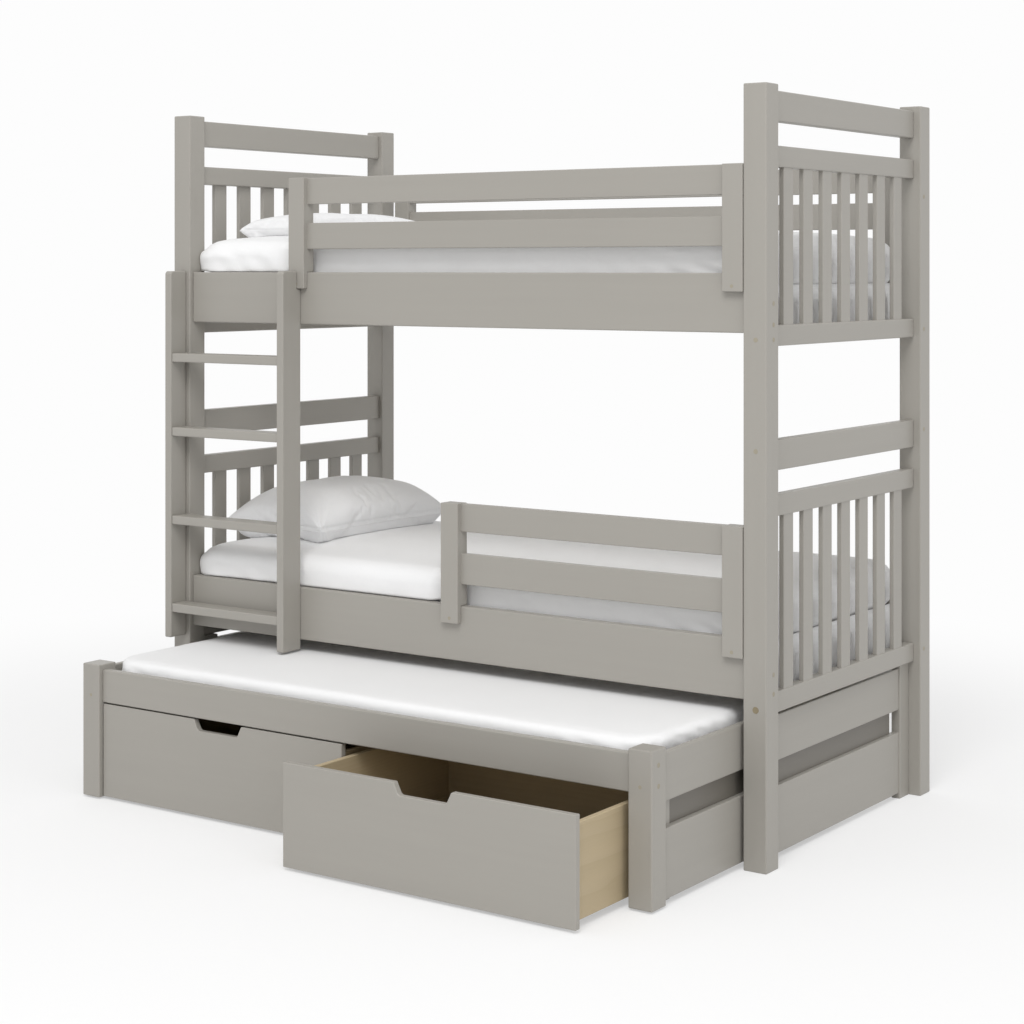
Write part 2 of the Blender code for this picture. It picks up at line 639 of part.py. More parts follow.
def make_bunk(level, rail_top, pillow_height, pillow_back):
    """Rails, slat base, mattress and pillow of one bunk."""
    make_side_rail(level, "front", rail_top)
    make_side_rail(level, "back", rail_top)
    base_top = rail_top - BASE_BELOW_RAIL_TOP
    base_y = (bunk_y(RAIL_INNER + BASE_SIDE_GAP), back_y(RAIL_INNER + BASE_SIDE_GAP))
    base_inset = POST_SIDE + BASE_END_MARGIN
    make_slat_base(f"slat_base_{level}", base_inset, base_y, base_top, BASE_SLAT_THICK)
    x = (from_left(END_INNER + MATTRESS_END_GAP), end_x(1, END_INNER + MATTRESS_END_GAP))
    y = (bunk_y(RAIL_INNER + MATTRESS_SIDE_GAP), back_y(RAIL_INNER + MATTRESS_SIDE_GAP))
    bottom = base_top + FIT
    make_mattress(f"mattress_{level}", x, y, bottom, MATTRESS_HEIGHT, MATTRESS_CORNER, MATTRESS_EDGE)
    pillow_start = from_left(END_INNER + PILLOW_END_GAP)
    pillow_bottom = bottom + MATTRESS_HEIGHT + FIT
    make_pillow(f"pillow_{level}", pillow_start, pillow_back, pillow_bottom, pillow_height)


def make_guide(side, side_name):
    """A fixed frame between the posts, low on the end, that keeps the trundle straight."""
    name = f"trundle_guide_{side_name}"
    x = (end_x(side, GUIDE_INSET), end_x(side, GUIDE_INSET + GUIDE_THICK))
    y = (bunk_y(POST_SIDE + OVERLAP), back_y(POST_SIDE + OVERLAP))
    board = (x, y, (GUIDE_BOARD_LIFT, GUIDE_BOARD_TOP))
    rail = (x, y, (GUIDE_RAIL_LIFT, GUIDE_RAIL_LIFT + GUIDE_RAIL_HEIGHT))
    frame = place(name, bars_mesh(name, [board, rail], EASE), PAINT)
    upright_outer = end_x(side, GUIDE_INSET - GUIDE_UPRIGHT_PROUD)
    upright_x = (upright_outer, end_x(side, GUIDE_INSET + GUIDE_THICK + FIT))
    upright_z = (0, LOWER_PANEL[0] - GUIDE_UPRIGHT_GAP)
    uprights = []
    for outward in (bunk_y, back_y):
        upright_y = (outward(POST_SIDE + FIT), outward(POST_SIDE + GUIDE_UPRIGHT_WIDTH))
        uprights.append((upright_x, upright_y, upright_z))
    join(frame, bars_mesh(name + "_uprights", uprights, SMALL_EASE))
    panel_inner = GUIDE_INSET + GUIDE_THICK - GUIDE_PANEL_INSET
    panel_x = (end_x(side, panel_inner - GUIDE_PANEL_THICK), end_x(side, panel_inner))
    panel_end = back_y(POST_SIDE + GUIDE_UPRIGHT_WIDTH + GUIDE_PANEL_BACK_GAP)
    panel_y = (bunk_y(POST_SIDE + 2 * OVERLAP), panel_end)
    panel_z = (GUIDE_BOARD_TOP - GUIDE_PANEL_LAP, GUIDE_RAIL_LIFT + GUIDE_PANEL_LAP)
    join(frame, bars_mesh(name + "_panel", [(panel_x, panel_y, panel_z)], SMALL_EASE))


def wheel_profile(radius, width, pin_radius):
    """(radius, x) round a wheel's section: bore, hub, dished face, rim and rounded tread, and back."""
    bore = pin_radius + FIT
    rim = radius - TYRE_ROUND
    half = width / 2
    dish = (bore + HUB_WIDTH + rim) / 2
    side = [(bore, half), (bore + HUB_WIDTH, half), (dish, half - HUB_RECESS), (rim, half)]
    side.append((radius, half - TYRE_ROUND))
    return side + [(r, -x) for r, x in reversed(side)]


def make_wheel(name, middle, radius, width, pin_radius, carrier):
    """A wheel turned round its axle, with its origin on the axle."""
    corners = [Vector(middle) + Vector((x, r, 0)) for r, x in wheel_profile(radius, width, pin_radius)]
    edges = [(i, (i + 1) % len(corners)) for i in range(len(corners))]
    mesh = bpy.data.meshes.new(name)
    mesh.from_pydata(corners, edges, [])
    wheel = place(name, mesh, WHEEL_PLASTIC, carrier, middle)
    turned = wheel.modifiers.new("turned", "SCREW")
    turned.axis = "X"
    turned.steps = WHEEL_STEPS
    turned.render_steps = WHEEL_STEPS
    turned.use_merge_vertices = True
    turned.merge_threshold = WELD


def round_bar(name, x, y, z, radius):
    """A round bar along X between two limits."""
    turned = Matrix.Translation((sum(x) / 2, y, z)) @ Matrix.Rotation(pi / 2, 4, "Y")
    bm = bmesh.new()
    bmesh.ops.create_cone(
        bm,
        cap_ends=True,
        segments=PIN_STEPS,
        radius1=radius,
        radius2=radius,
        depth=max(x) - min(x),
        matrix=turned,
    )
    return mesh_from(bm, name)


def add_wheel(holder, name, face_x, side, y, radius, width, pin_radius, carrier):
    """A headed pin joined to its holder's face, and the wheel that turns on it, inward of the face."""
    head_x = face_x - side * (width + 2 * WHEEL_PLAY)
    pin_x = (face_x + side * OVERLAP, head_x - side * PIN_HEAD_THICK / 2)
    join(holder, round_bar(name + "_pin", pin_x, y, radius, pin_radius))
    head_span = (head_x, head_x - side * PIN_HEAD_THICK)
    join(holder, round_bar(name + "_head", head_span, y, radius, pin_radius + PIN_HEAD_REACH))
    middle = (face_x - side * (WHEEL_PLAY + width / 2), y, radius)
    make_wheel(name, middle, radius, width, pin_radius, carrier)


def make_trundle_end(side, side_name, carrier):
    """A rail over a board, joined by cleats and a thin backing inside them. Each cleat carries a wheel."""
    name = f"trundle_end_{side_name}"
    x = (end_x(side, TRUNDLE_END_OUTER), end_x(side, TRUNDLE_END_INNER))
    y = (trundle_y(TRUNDLE_POST_SIDE + FIT), trundle_back_y(TRUNDLE_POST_SIDE + FIT))
    board = (x, y, (TRUNDLE_BOARD_LIFT, TRUNDLE_BOARD_TOP))
    rail = (x, y, (TRUNDLE_END_RAIL_LIFT, TRUNDLE_END_RAIL_LIFT + TRUNDLE_END_RAIL_HEIGHT))
    end = place(name, bars_mesh(name, [board, rail], EASE), PAINT, carrier)
    cleat_face = end_x(side, TRUNDLE_END_INNER + CLEAT_THICK)
    cleat_x = (end_x(side, TRUNDLE_END_INNER - OVERLAP), cleat_face)
    cleat_z = (TRUNDLE_LIFT, TRUNDLE_END_RAIL_LIFT + CLEAT_ABOVE_RAIL_FOOT)
    start = TRUNDLE_POST_SIDE + CLEAT_POST_GAP
    faces = ((trundle_y, "front"), (trundle_back_y, "back"))
    cleats = [(cleat_x, (outward(start), outward(start + CLEAT_WIDTH)), cleat_z) for outward, _ in faces]
    join(end, bars_mesh(name + "_cleats", cleats, SMALL_EASE))
    backing_face = end_x(side, TRUNDLE_END_INNER + TRUNDLE_BACKING_THICK)
    backing_x = (end_x(side, TRUNDLE_END_INNER - OVERLAP / 2), backing_face)
    backing_start = start + CLEAT_WIDTH - OVERLAP
    backing_y = (trundle_y(backing_start), trundle_back_y(backing_start))
    backing_z = (TRUNDLE_BOARD_TOP - TRUNDLE_BACKING_LAP, TRUNDLE_END_RAIL_LIFT + TRUNDLE_BACKING_LAP)
    join(end, bars_mesh(name + "_backing", [(backing_x, backing_y, backing_z)], SMALL_EASE))
    for outward, face in faces:
        add_wheel(
            end,
            f"trundle_wheel_{face}_{side_name}",
            cleat_face,
            side,
            outward(start + CLEAT_WIDTH / 2),
            TRUNDLE_WHEEL_RADIUS,
            TRUNDLE_WHEEL_WIDTH,
            TRUNDLE_PIN_RADIUS,
            carrier,
        )


def make_trundle_rail(outward, face, carrier):
    """A rail between two of the trundle's posts, with a ledger inside it for the slat base."""
    name = f"trundle_rail_{face}"
    x = (from_left(TRUNDLE_INNER + FIT), end_x(1, TRUNDLE_INNER + FIT))
    y = (outward(TRUNDLE_RAIL_INSET), outward(TRUNDLE_RAIL_INNER))
    rail = make_bar(name, x, y, (TRUNDLE_RAIL_LIFT, TRUNDLE_RAIL_LIFT + TRUNDLE_RAIL_HEIGHT), carrier)
    ledger_x = (from_left(TRUNDLE_INNER + LEDGER_END_GAP), end_x(1, TRUNDLE_INNER + LEDGER_END_GAP))
    ledger_y = (outward(TRUNDLE_RAIL_INNER - OVERLAP), outward(TRUNDLE_RAIL_INNER + TRUNDLE_LEDGER_WIDTH))
    ledger = (ledger_x, ledger_y, (TRUNDLE_LEDGER_TOP - TRUNDLE_LEDGER_HEIGHT, TRUNDLE_LEDGER_TOP))
    join(rail, bars_mesh(name + "_ledger", [ledger], SMALL_EASE))


def make_trundle():
    """The trundle bed's frame, slat base, mattress and wheels, on the carrier that rolls."""
    carrier = new_carrier("trundle", (0, trundle_y(0), 0))
    faces = ((trundle_y, "front"), (trundle_back_y, "back"))
    post_z = (TRUNDLE_LIFT, TRUNDLE_POST_TOP)
    for side, side_name in SIDES:
        x = (end_x(side, TRUNDLE_START), end_x(side, TRUNDLE_INNER))
        for outward, face in faces:
            y = (outward(0), outward(TRUNDLE_POST_SIDE))
            make_bar(f"trundle_post_{face}_{side_name}", x, y, post_z, carrier)
        make_trundle_end(side, side_name, carrier)
    for outward, face in faces:
        make_trundle_rail(outward, face, carrier)
    gap = TRUNDLE_RAIL_INNER + BASE_SIDE_GAP
    base_inset = TRUNDLE_END_INNER + TRUNDLE_BASE_MARGIN
    y = (trundle_y(gap), trundle_back_y(gap))
    make_slat_base("trundle_slat_base", base_inset, y, TRUNDLE_BASE_TOP, TRUNDLE_SLAT_THICK, carrier)
    inset = TRUNDLE_END_INNER + TRUNDLE_MATTRESS_END_GAP
    gap = TRUNDLE_RAIL_INNER + TRUNDLE_MATTRESS_SIDE_GAP
    make_mattress(
        "mattress_trundle",
        (from_left(inset), end_x(1, inset)),
        (trundle_y(gap), trundle_back_y(gap)),
        TRUNDLE_BASE_TOP + FIT,
        TRUNDLE_MATTRESS_HEIGHT,
        TRUNDLE_MATTRESS_CORNER,
        TRUNDLE_MATTRESS_EDGE,
        carrier,
    )
    return carrier


def rounded_corner(before, corner, after, radius):
    """Points of an arc that rounds one corner of an outline."""
    to_before = (before - corner).normalized()
    to_after = (after - corner).normalized()
    half_angle = to_before.angle(to_after) / 2
    middle = corner + (to_before + to_after).normalized() * (radius / sin(half_angle))
    reach = radius * cos(half_angle) / sin(half_angle)
    first = corner + to_before * reach - middle
    last = corner + to_after * reach - middle
    turn = [first.normalized().slerp(last.normalized(), i / ARC_STEPS) for i in range(ARC_STEPS + 1)]
    return [middle + direction * radius for direction in turn]


def drawer_front_outline(x):
    """A drawer front in X and Z, with a round-cornered cut-out for the hand in its top edge."""
    middle = sum(x) / 2
    cut_foot = DRAWER_TOP - HANDLE_DEPTH
    right_top = Vector((middle + HANDLE_TOP / 2, DRAWER_TOP))
    right_foot = Vector((middle + HANDLE_FOOT / 2, cut_foot))
    left_foot = Vector((middle - HANDLE_FOOT / 2, cut_foot))
    left_top = Vector((middle - HANDLE_TOP / 2, DRAWER_TOP))
    cut = [right_top, *rounded_corner(right_top, right_foot, left_foot, HANDLE_ROUND)]
    cut += [*rounded_corner(right_foot, left_foot, left_top, HANDLE_ROUND), left_top]
    low, high = min(x), max(x)
    return [(low, DRAWER_LIFT), (high, DRAWER_LIFT), (high, DRAWER_TOP), *cut, (low, DRAWER_TOP)]


def make_box(name, x, y, carrier):
    """A drawer box, open at the front, where the drawer front closes it: two sides, a back and a floor."""
    low, high = min(x), max(x)
    front, back = min(y), max(y)
    side_z = (BOX_LIFT, BOX_TOP)
    walls = [((low, low + BOX_WALL), y, side_z), ((high - BOX_WALL, high), y, side_z)]
    box = place(name, bars_mesh(name, walls, SMALL_EASE), BARE_WOOD, carrier)
    across = (low + BOX_WALL - OVERLAP, high - BOX_WALL + OVERLAP)
    back_face = (back - OVERLAP - BOX_WALL, back - OVERLAP)
    back_z = (BOX_LIFT + BOX_BACK_DROP, BOX_TOP - BOX_BACK_DROP)
    join(box, bars_mesh(name + "_back", [(across, back_face, back_z)], SMALL_EASE))
    floor_x = (across[0] + OVERLAP / 2, across[1] - OVERLAP / 2)
    floor_y = (front + SMALL_EASE, back_face[0] + OVERLAP)
    floor_z = (BOX_FLOOR_LIFT, BOX_FLOOR_LIFT + BOX_FLOOR_THICK)
    join(box, bars_mesh(name + "_floor", [(floor_x, floor_y, floor_z)], SMALL_EASE))
    return box


def add_drawer_wheels(box, drawer, x, y, carrier):
    """Four brackets under the floor of the box, each with a headed pin and a wheel."""
    inset = BOX_WALL + WHEEL_SIDE_MARGIN
    places = []
    for side, side_name, wall_x in ((-1, "left", min(x)), (1, "right", max(x))):
        for face, wheel_y in (("front", min(y) + WHEEL_END_MARGIN), ("back", max(y) - WHEEL_END_MARGIN)):
            places.append((side, f"{drawer}_wheel_{face}_{side_name}", wall_x - side * inset, wheel_y))
    brackets = []
    for side, _, outer, wheel_y in places:
        bracket_y = (wheel_y - BRACKET_WIDTH / 2, wheel_y + BRACKET_WIDTH / 2)
        bracket_z = (DRAWER_WHEEL_RADIUS - BRACKET_BELOW_PIN, BOX_FLOOR_LIFT + OVERLAP)
        brackets.append(((outer, outer - side * BRACKET_THICK), bracket_y, bracket_z))
    join(box, bars_mesh(f"{drawer}_brackets", brackets, SMALL_EASE))
    for side, name, outer, wheel_y in places:
        add_wheel(
            box,
            name,
            outer - side * BRACKET_THICK,
            side,
            wheel_y,
            DRAWER_WHEEL_RADIUS,
            DRAWER_WHEEL_WIDTH,
            DRAWER_PIN_RADIUS,
            carrier,
        )


def make_drawer(drawer, index, out, trundle):
    """A drawer on its own carrier: its front, its box and its wheels."""
    start = from_left(TRUNDLE_INNER + DRAWER_GAP + index * (DRAWER_WIDTH + DRAWER_GAP))
    x = (start, start + DRAWER_WIDTH)
    face = trundle_y(TRUNDLE_RAIL_INSET - out)
    carrier = new_carrier(drawer, (sum(x) / 2, face, 0), trundle)
    front = outline_mesh(f"{drawer}_front", drawer_front_outline(x), DRAWER_FRONT_THICK, SMALL_EASE)
    place(f"{drawer}_front", stood_along(front, (face, face + DRAWER_FRONT_THICK)), PAINT, carrier)
    box_x = (x[0] + BOX_INSET, x[1] - BOX_INSET)
    box_start = face + DRAWER_FRONT_THICK + FIT
    box_y = (box_start, box_start + BOX_DEPTH)
    box = make_box(f"{drawer}_box", box_x, box_y, carrier)
    add_drawer_wheels(box, drawer, box_x, box_y, carrier)


def build():
    for side, side_name in SIDES:
        make_posts(side, side_name)
        make_end("upper", side, side_name, UPPER_TOP_RAIL, UPPER_PANEL)
        make_end("lower", side, side_name, LOWER_TOP_RAIL, LOWER_PANEL)
        make_guide(side, side_name)
    make_bunk("upper", UPPER_RAIL_TOP, UPPER_PILLOW_HEIGHT, UPPER_PILLOW_BACK)
    make_bunk("lower", LOWER_RAIL_TOP, LOWER_PILLOW_HEIGHT, LOWER_PILLOW_BACK)
    make_guards()
    make_ladder()
    trundle = make_trundle()
    make_drawer("drawer_left", 0, LEFT_DRAWER_OUT, trundle)
    make_drawer("drawer_right", 1, RIGHT_DRAWER_OUT, trundle)


clear_scene()
PARTS = new_collection("triple_bunk_bed", False)
JOINING = new_collection("joining_shapes", True)
build()
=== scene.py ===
"""The looks of the triple bunk bed: satin-painted pine, bare wood inside, white bedding, small fittings."""
import json
from math import cos, exp, pi, radians, sin

import bmesh
import bpy
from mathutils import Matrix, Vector, noise
from mathutils.bvhtree import BVHTree


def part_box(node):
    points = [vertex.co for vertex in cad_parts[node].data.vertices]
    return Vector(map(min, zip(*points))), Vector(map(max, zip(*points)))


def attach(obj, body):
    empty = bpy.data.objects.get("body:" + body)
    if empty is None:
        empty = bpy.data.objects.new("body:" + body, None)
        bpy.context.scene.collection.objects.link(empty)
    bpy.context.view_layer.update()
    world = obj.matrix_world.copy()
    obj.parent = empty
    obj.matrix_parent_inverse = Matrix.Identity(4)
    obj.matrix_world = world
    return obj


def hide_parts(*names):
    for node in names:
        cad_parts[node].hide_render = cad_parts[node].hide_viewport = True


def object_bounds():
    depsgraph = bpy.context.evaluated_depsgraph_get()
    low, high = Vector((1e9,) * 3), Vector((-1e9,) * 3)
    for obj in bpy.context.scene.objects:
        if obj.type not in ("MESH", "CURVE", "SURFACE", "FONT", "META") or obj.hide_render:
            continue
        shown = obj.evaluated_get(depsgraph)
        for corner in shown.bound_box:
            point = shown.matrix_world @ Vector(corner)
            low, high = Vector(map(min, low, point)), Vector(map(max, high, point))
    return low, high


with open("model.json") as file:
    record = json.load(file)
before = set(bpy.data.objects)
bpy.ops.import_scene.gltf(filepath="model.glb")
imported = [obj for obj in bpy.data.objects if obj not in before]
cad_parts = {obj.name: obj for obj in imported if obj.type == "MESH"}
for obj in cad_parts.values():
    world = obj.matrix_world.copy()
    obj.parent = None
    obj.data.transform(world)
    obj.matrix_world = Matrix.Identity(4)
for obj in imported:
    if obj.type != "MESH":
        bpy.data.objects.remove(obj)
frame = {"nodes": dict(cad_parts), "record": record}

NODES = frame["nodes"]
BODY_OF = {node: body for body, nodes in frame["record"]["behaviour"]["bodies"].items() for node in nodes}
CAD_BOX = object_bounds()
SIDES = ((-1, "left"), (1, "right"))
FACES = ((-1, "front"), (1, "back"))
LEVELS = ("upper", "lower")
GUARDS = (("guard_lower_front", -1), ("guard_upper_front", -1), ("guard_upper_back", 1))

# Camera, fitted to the straight edges of the bed
CAMERA_PLACE = (3.4065, -4.6964, 1.4953)
CAMERA_TURN = 34.975
CAMERA_LENS = 72.515
CAMERA_SENSOR = 36.0
CAMERA_SHIFT_Y = -0.23794

# Lamps: place, point aimed at, width and power
KEY_LAMP = ((3.5, -7.0, 9.5), (0.0, -0.2, 0.6), 6.0, 640.0)
FILL_LAMP = ((10.0, -3.5, 3.8), (0.0, 0.0, 0.9), 5.0, 85.0)
AMBIENT = 0.76
BACKDROP = 0.982

# Floor: what it bounces, what the camera sees of the lamps on it, and what it adds of its own
FLOOR_BOUNCE = 0.80
FLOOR_LIT = 0.49
FLOOR_GLOW = 0.43
FLOOR_HALF_SIZE = 30.0
FLOOR_FADE_FROM = 1.7
FLOOR_FADE_TO = 3.6

# Colours of the finishes
PAINT = (0.336, 0.319, 0.288)
# Dark grey of the slots' backing panels: painted shade, standing for the shade deep in the open slots
SLOT_SHADE_GREY = (0.150, 0.138, 0.118)
PINE_LIGHT = (0.45, 0.365, 0.235)
PINE_DARK = (0.34, 0.262, 0.15)
PLUG_LIGHT = (0.32, 0.29, 0.225)
PLUG_DARK = (0.26, 0.23, 0.165)
BIG_PLUG_LIGHT = (0.24, 0.20, 0.125)
BIG_PLUG_DARK = (0.17, 0.14, 0.085)
SHEET_WHITE = (0.84, 0.84, 0.842)
PILLOW_WHITE = (0.81, 0.81, 0.815)
WHEEL_BLACK = (0.045, 0.045, 0.048)
STEEL = (0.56, 0.56, 0.57)

# Patterns: repeats per metre along the grain and both ways across it, detail, and roughness of the detail
PAINT_STREAKS = ((1.3, 34, 34), 4.0, 0.55)
PAINT_BLOTCHES = ((1.8, 2.6, 2.6), 2.0, 0.5)
PAINT_FIBRES = ((14, 520, 520), 3.0, 0.6)
PAINT_PEEL = ((160, 160, 160), 2.0, 0.5)
PINE_STREAKS = ((1.1, 26, 26), 4.0, 0.6)
PINE_FIBRES = ((18, 640, 640), 2.0, 0.5)
COTTON_SLUB = ((90, 90, 90), 3.0, 0.6)
COTTON_MOTTLE = ((5, 5, 5), 2.0, 0.5)
PLASTIC_SCUFFS = ((240, 240, 240), 4.0, 0.6)
STEEL_SCUFFS = ((400, 400, 400), 4.0, 0.6)

# How far a pattern spreads a value, and the value's middle
PAINT_BLOTCH_SHADE = (0.07, 0.0)
PAINT_ROUGHNESS = (0.10, 0.40)
PAINT_BLOTCH_ROUGHNESS = (0.12, 0.0)
PINE_STREAK_SHADE = (0.16, 1.0)
PINE_FIBRE_SHADE = (0.08, 0.0)
PINE_ROUGHNESS = (0.16, 0.58)
COTTON_MOTTLE_SHADE = (0.03, 1.0)
COTTON_SLUB_SHADE = (0.03, 0.0)
COTTON_ROUGHNESS = (0.10, 0.88)
PLASTIC_ROUGHNESS = (0.25, 0.5)
STEEL_ROUGHNESS = (0.25, 0.32)

# Growth rings and threads
PAINT_GRAIN = 0.06
PINE_RINGS = 34.0
PLUG_RINGS = 90.0
RING_STRETCH = (0.12, 1, 1)
RING_WOBBLE = {"distortion": 5.0, "detail": 2.0, "detail_scale": 0.6}
LATE_WOOD_SHARPNESS = 2.2
LATE_WOOD_SHARE = 0.45
THREADS = 8.0
THREAD_STRETCH = (60, 60, 60)
THREAD_WOBBLE = {"distortion": 0.3, "detail": 1.0}
SCUFFED_SHARE = 0.7
CLOTH_SHEEN = {"Sheen Weight": 0.12, "Sheen Roughness": 0.5, "Specular IOR Level": 0.25}

# Relief: shares of its parts, and its depth
PEEL_SHARE = 0.35
RING_SHARE = 0.4
SLUB_SHARE = 0.5
PAINT_RELIEF = 0.00006
PANEL_RELIEF = 0.00004
PINE_RELIEF = 0.0001
PLUG_RELIEF = 0.00008
SHEET_RELIEF = 0.00012
PILLOW_RELIEF = 0.00015
SCUFF_RELIEF = 0.00005

# Turns that lay a pattern's X along the grain
GRAIN_TURNS = {"x": (0, 0, 0), "y": (0, 0, -pi / 2), "z": (0, pi / 2, 0)}

# Where one finish gives way to another on a node: slots as (foot, top), and reaches from the bed's middle
END_RAIL_FACE_SHARE = 0.2
GUARD_UPRIGHT_WIDTH = 0.0585
BOX_WALL = 0.0155
BOX_BACK = 0.020
BOX_FLOOR_TOP = 0.056
BOX_PIN_TOP = 0.046
BOX_PIN_IN = 0.0375
SLAT_THICK = 0.0185
TRUNDLE_SLAT_THICK = 0.0125
GUIDE_UPRIGHT_WIDTH = 0.0605
GUIDE_SLOT = (0.1875, 0.2495)
GUIDE_PANEL_REACH = 0.9535
CLEAT_REACH = 0.8945
TRUNDLE_SLOT = (0.1835, 0.2455)
BACKING_REACH = 0.9155
TRUNDLE_BOARD_REACH = 0.9128

# Wooden plugs over the bolts: their form, their heights above the floor, and how far in they lie
PLUG_FORM = {"Radius": 0.0065, "Depth": 0.0014, "Chamfer": 0.0005, "Facets": 28}
PLUG_PROUD = 0.0004
SMALL_PLUG_SHARE = 0.8
BIG_PLUG_SHARE = 1.35
POST_SIDE_PLUGS = {"front": (1.408, 1.355, 1.318, 0.487, 0.439), "back": (1.699, 1.323, 1.038, 0.415)}
POST_SIDE_PLUG_IN = {"front": 0.038, "back": 0.042}
POST_FACE_PLUGS = ((1.318, 1.0), (1.042, 1.0), (0.402, BIG_PLUG_SHARE))
TRUNDLE_SIDE_PLUGS = (0.341, 0.292)
TRUNDLE_FACE_PLUG = 0.291
FACE_PLUG_IN = 0.030
GUARD_PLUG_UP = 0.014

# Wheels
DRAWER_WHEEL_BORE = 0.0045
TRUNDLE_WHEEL_BORE = 0.0055
WHEEL_TURNS = 48
WHEEL_CREASE = 40
TYRE_ROUND = 0.003
TYRE_STEPS = 5
HUB_WIDTH = 0.006
HUB_STEP = 0.0008
RIM_WIDTH = 0.004
DISH_DEPTH = 0.003

# Mattresses: their foam as (corner, edge, end edge, crown), and the room that a cover has beside its solid
MATTRESS_FORM = (0.036, 0.040, 0.062, 0.010)
TRUNDLE_FORM = (0.090, 0.017, 0.017, 0.003)
MATTRESS_VOXEL = 0.015
TRUNDLE_VOXEL = 0.012
MATTRESS_LEAST_CORNER = 0.020
MATTRESS_START_GAP = 0.006
MATTRESS_TOP_GAPS = {"upper": -0.002, "lower": 0.002}
MATTRESS_CAP = 0.010
MATTRESS_GROWTH = 0.01
BULGE_THROUGH_SLATS = 0.016
SIDE_CLEARANCE = 0.0015
POST_CLEARANCE = 0.001
TRUNDLE_LONGER = 0.004
TRUNDLE_PROUD = 0.011
CROWN_RUN = 0.16
EDGE_STEPS = 8
SIDE_STEPS = 6
CORNER_STEPS = 10
CROWN_STEPS = 4

# How the front of a bunk's mattress lies over the side rail, up to a share of the fade short of the guard
OVERHANG = 0.028
OVERHANG_RISE = 0.005
OVERHANG_FADE = 0.060
OVERHANG_SHORT_SHARE = 0.2
OVERHANG_DEPTH = 0.140
OVERHANG_SQUARED = 0.022
OVERHANG_CORNER = 0.070
RAIL_CLEARANCE = 0.0008
RAIL_BAND = 0.010
SETTLED_BAND = 0.022

# Folds of a fitted sheet: repeats per metre along and across the bed and up, heights, and reaches. A seed
# keeps a pattern apart from the others.
SEEDS = {"upper": 1.5, "lower": 4.5, "trundle": 8.5}
WAVES = (3.2, 4.4)
WAVE_HEIGHT = 0.0022
SIDE_WAVE_HEIGHT = 0.0012
FINE_WAVES = (11, 13)
FINE_WAVE_HEIGHT = 0.0008
FINE_WAVE_SEED = 7
GATHERS = (16, 20, 3)
GATHER_HEIGHT = 0.0035
GATHER_LEAN = 1.3
GATHER_FROM_END = 0.22
GATHER_FROM_SIDE = 0.16
GATHER_ALONG_SIDE = 0.5
END_PLEATS = (21, 2.5)
END_PLEAT_HEIGHT = 0.006

# Pillows: the space left inside the solid's low and high corners, their form, and their seam
PILLOW_VOXEL = 0.006
PILLOW_SPACES = {
    "upper": ((0.050, 0.060, 0), (0.012, 0.012, 0.028)),
    "lower": ((0.010, 0.010, 0), (0.010, 0.010, 0.036)),
}
PILLOW_CAP = 0.014
PILLOW_GROWTH = 0.03
PILLOW_DRAW_SHARE = 0.07
PILLOW_SEAM_SHARE = 0.36
PILLOW_BELLY_SHARE = 0.62
PILLOW_SQUARENESS = 4
PILLOW_COLUMNS = 28
PILLOW_ROWS = 40
RESTING_GAP = 0.0005
SEAM_SHARE = 0.27
SEAM_TUCK = 0.0032
SEAM_TUCK_WIDTH = 0.0045
SEAM_RADIUS = 0.0014
SEAM_PROUD = 0.0002
SEAM_STEPS = 240
SEAM_AIM_SHARE = 0.6
SEAM_OUTSIDE_SHARE = 2

# Dents, crumples, and creases that fan out from a pillow's corners
DENTS = (6, 5)
DENT_DEPTH = 0.004
CRUMPLES = (26, 20)
CRUMPLE_HEIGHT = 0.0010
CRUMPLE_SEED = 3
CREASE_FAN = (9, 6)
CREASE_ALONG = 4
CREASE_HEIGHT = 0.0040
CREASE_REACH = 0.16
CREASE_SEED = 5

# Swelling of stuffed cloth
SWELL_FRAMES = 20
SWELL_QUALITY = 5
SWELL_PRESSURE = 4.0

# Loose ends of the sheets, which hang from the mattresses' lower end edges to the panels' foot rails
LOOSE_UP = 0.024
LOOSE_SIDE_GAP = 0.027
LOOSE_BELOW_RAIL_TOP = 0.020
FOOT_RAIL_HEIGHT = 0.053
LOOSE_HANG = 0.940
LOOSE_REACH = (0.922, 0.951)
LOOSE_OPENS = 3
LOOSE_COLUMNS = 220
LOOSE_ROWS = 14
LOOSE_FOLDS = (20, 0.9)
LOOSE_FOLD_DEPTH = 0.022
LOOSE_FOLD_AT_TOP = 0.15
LOOSE_FINE_FOLDS = (47, 1.6)
LOOSE_FINE_SHARE = 0.4
LOOSE_FINE_SEED = 5
LOOSE_SWAY = 0.006
LOOSE_SWAY_SEED = 9
LOOSE_LIFT = 0.010
LOOSE_LIFTS = 9
LOOSE_LIFT_SEED = 13
SHEET_THICK = 0.0008


def add_object(name, data):
    obj = bpy.data.objects.new(name, data)
    bpy.context.scene.collection.objects.link(obj)
    return obj


def add_socket(tree, name, way, kind, value=None):
    socket = tree.interface.new_socket(name, in_out=way, socket_type=f"NodeSocket{kind}")
    if value is not None:
        socket.default_value = value


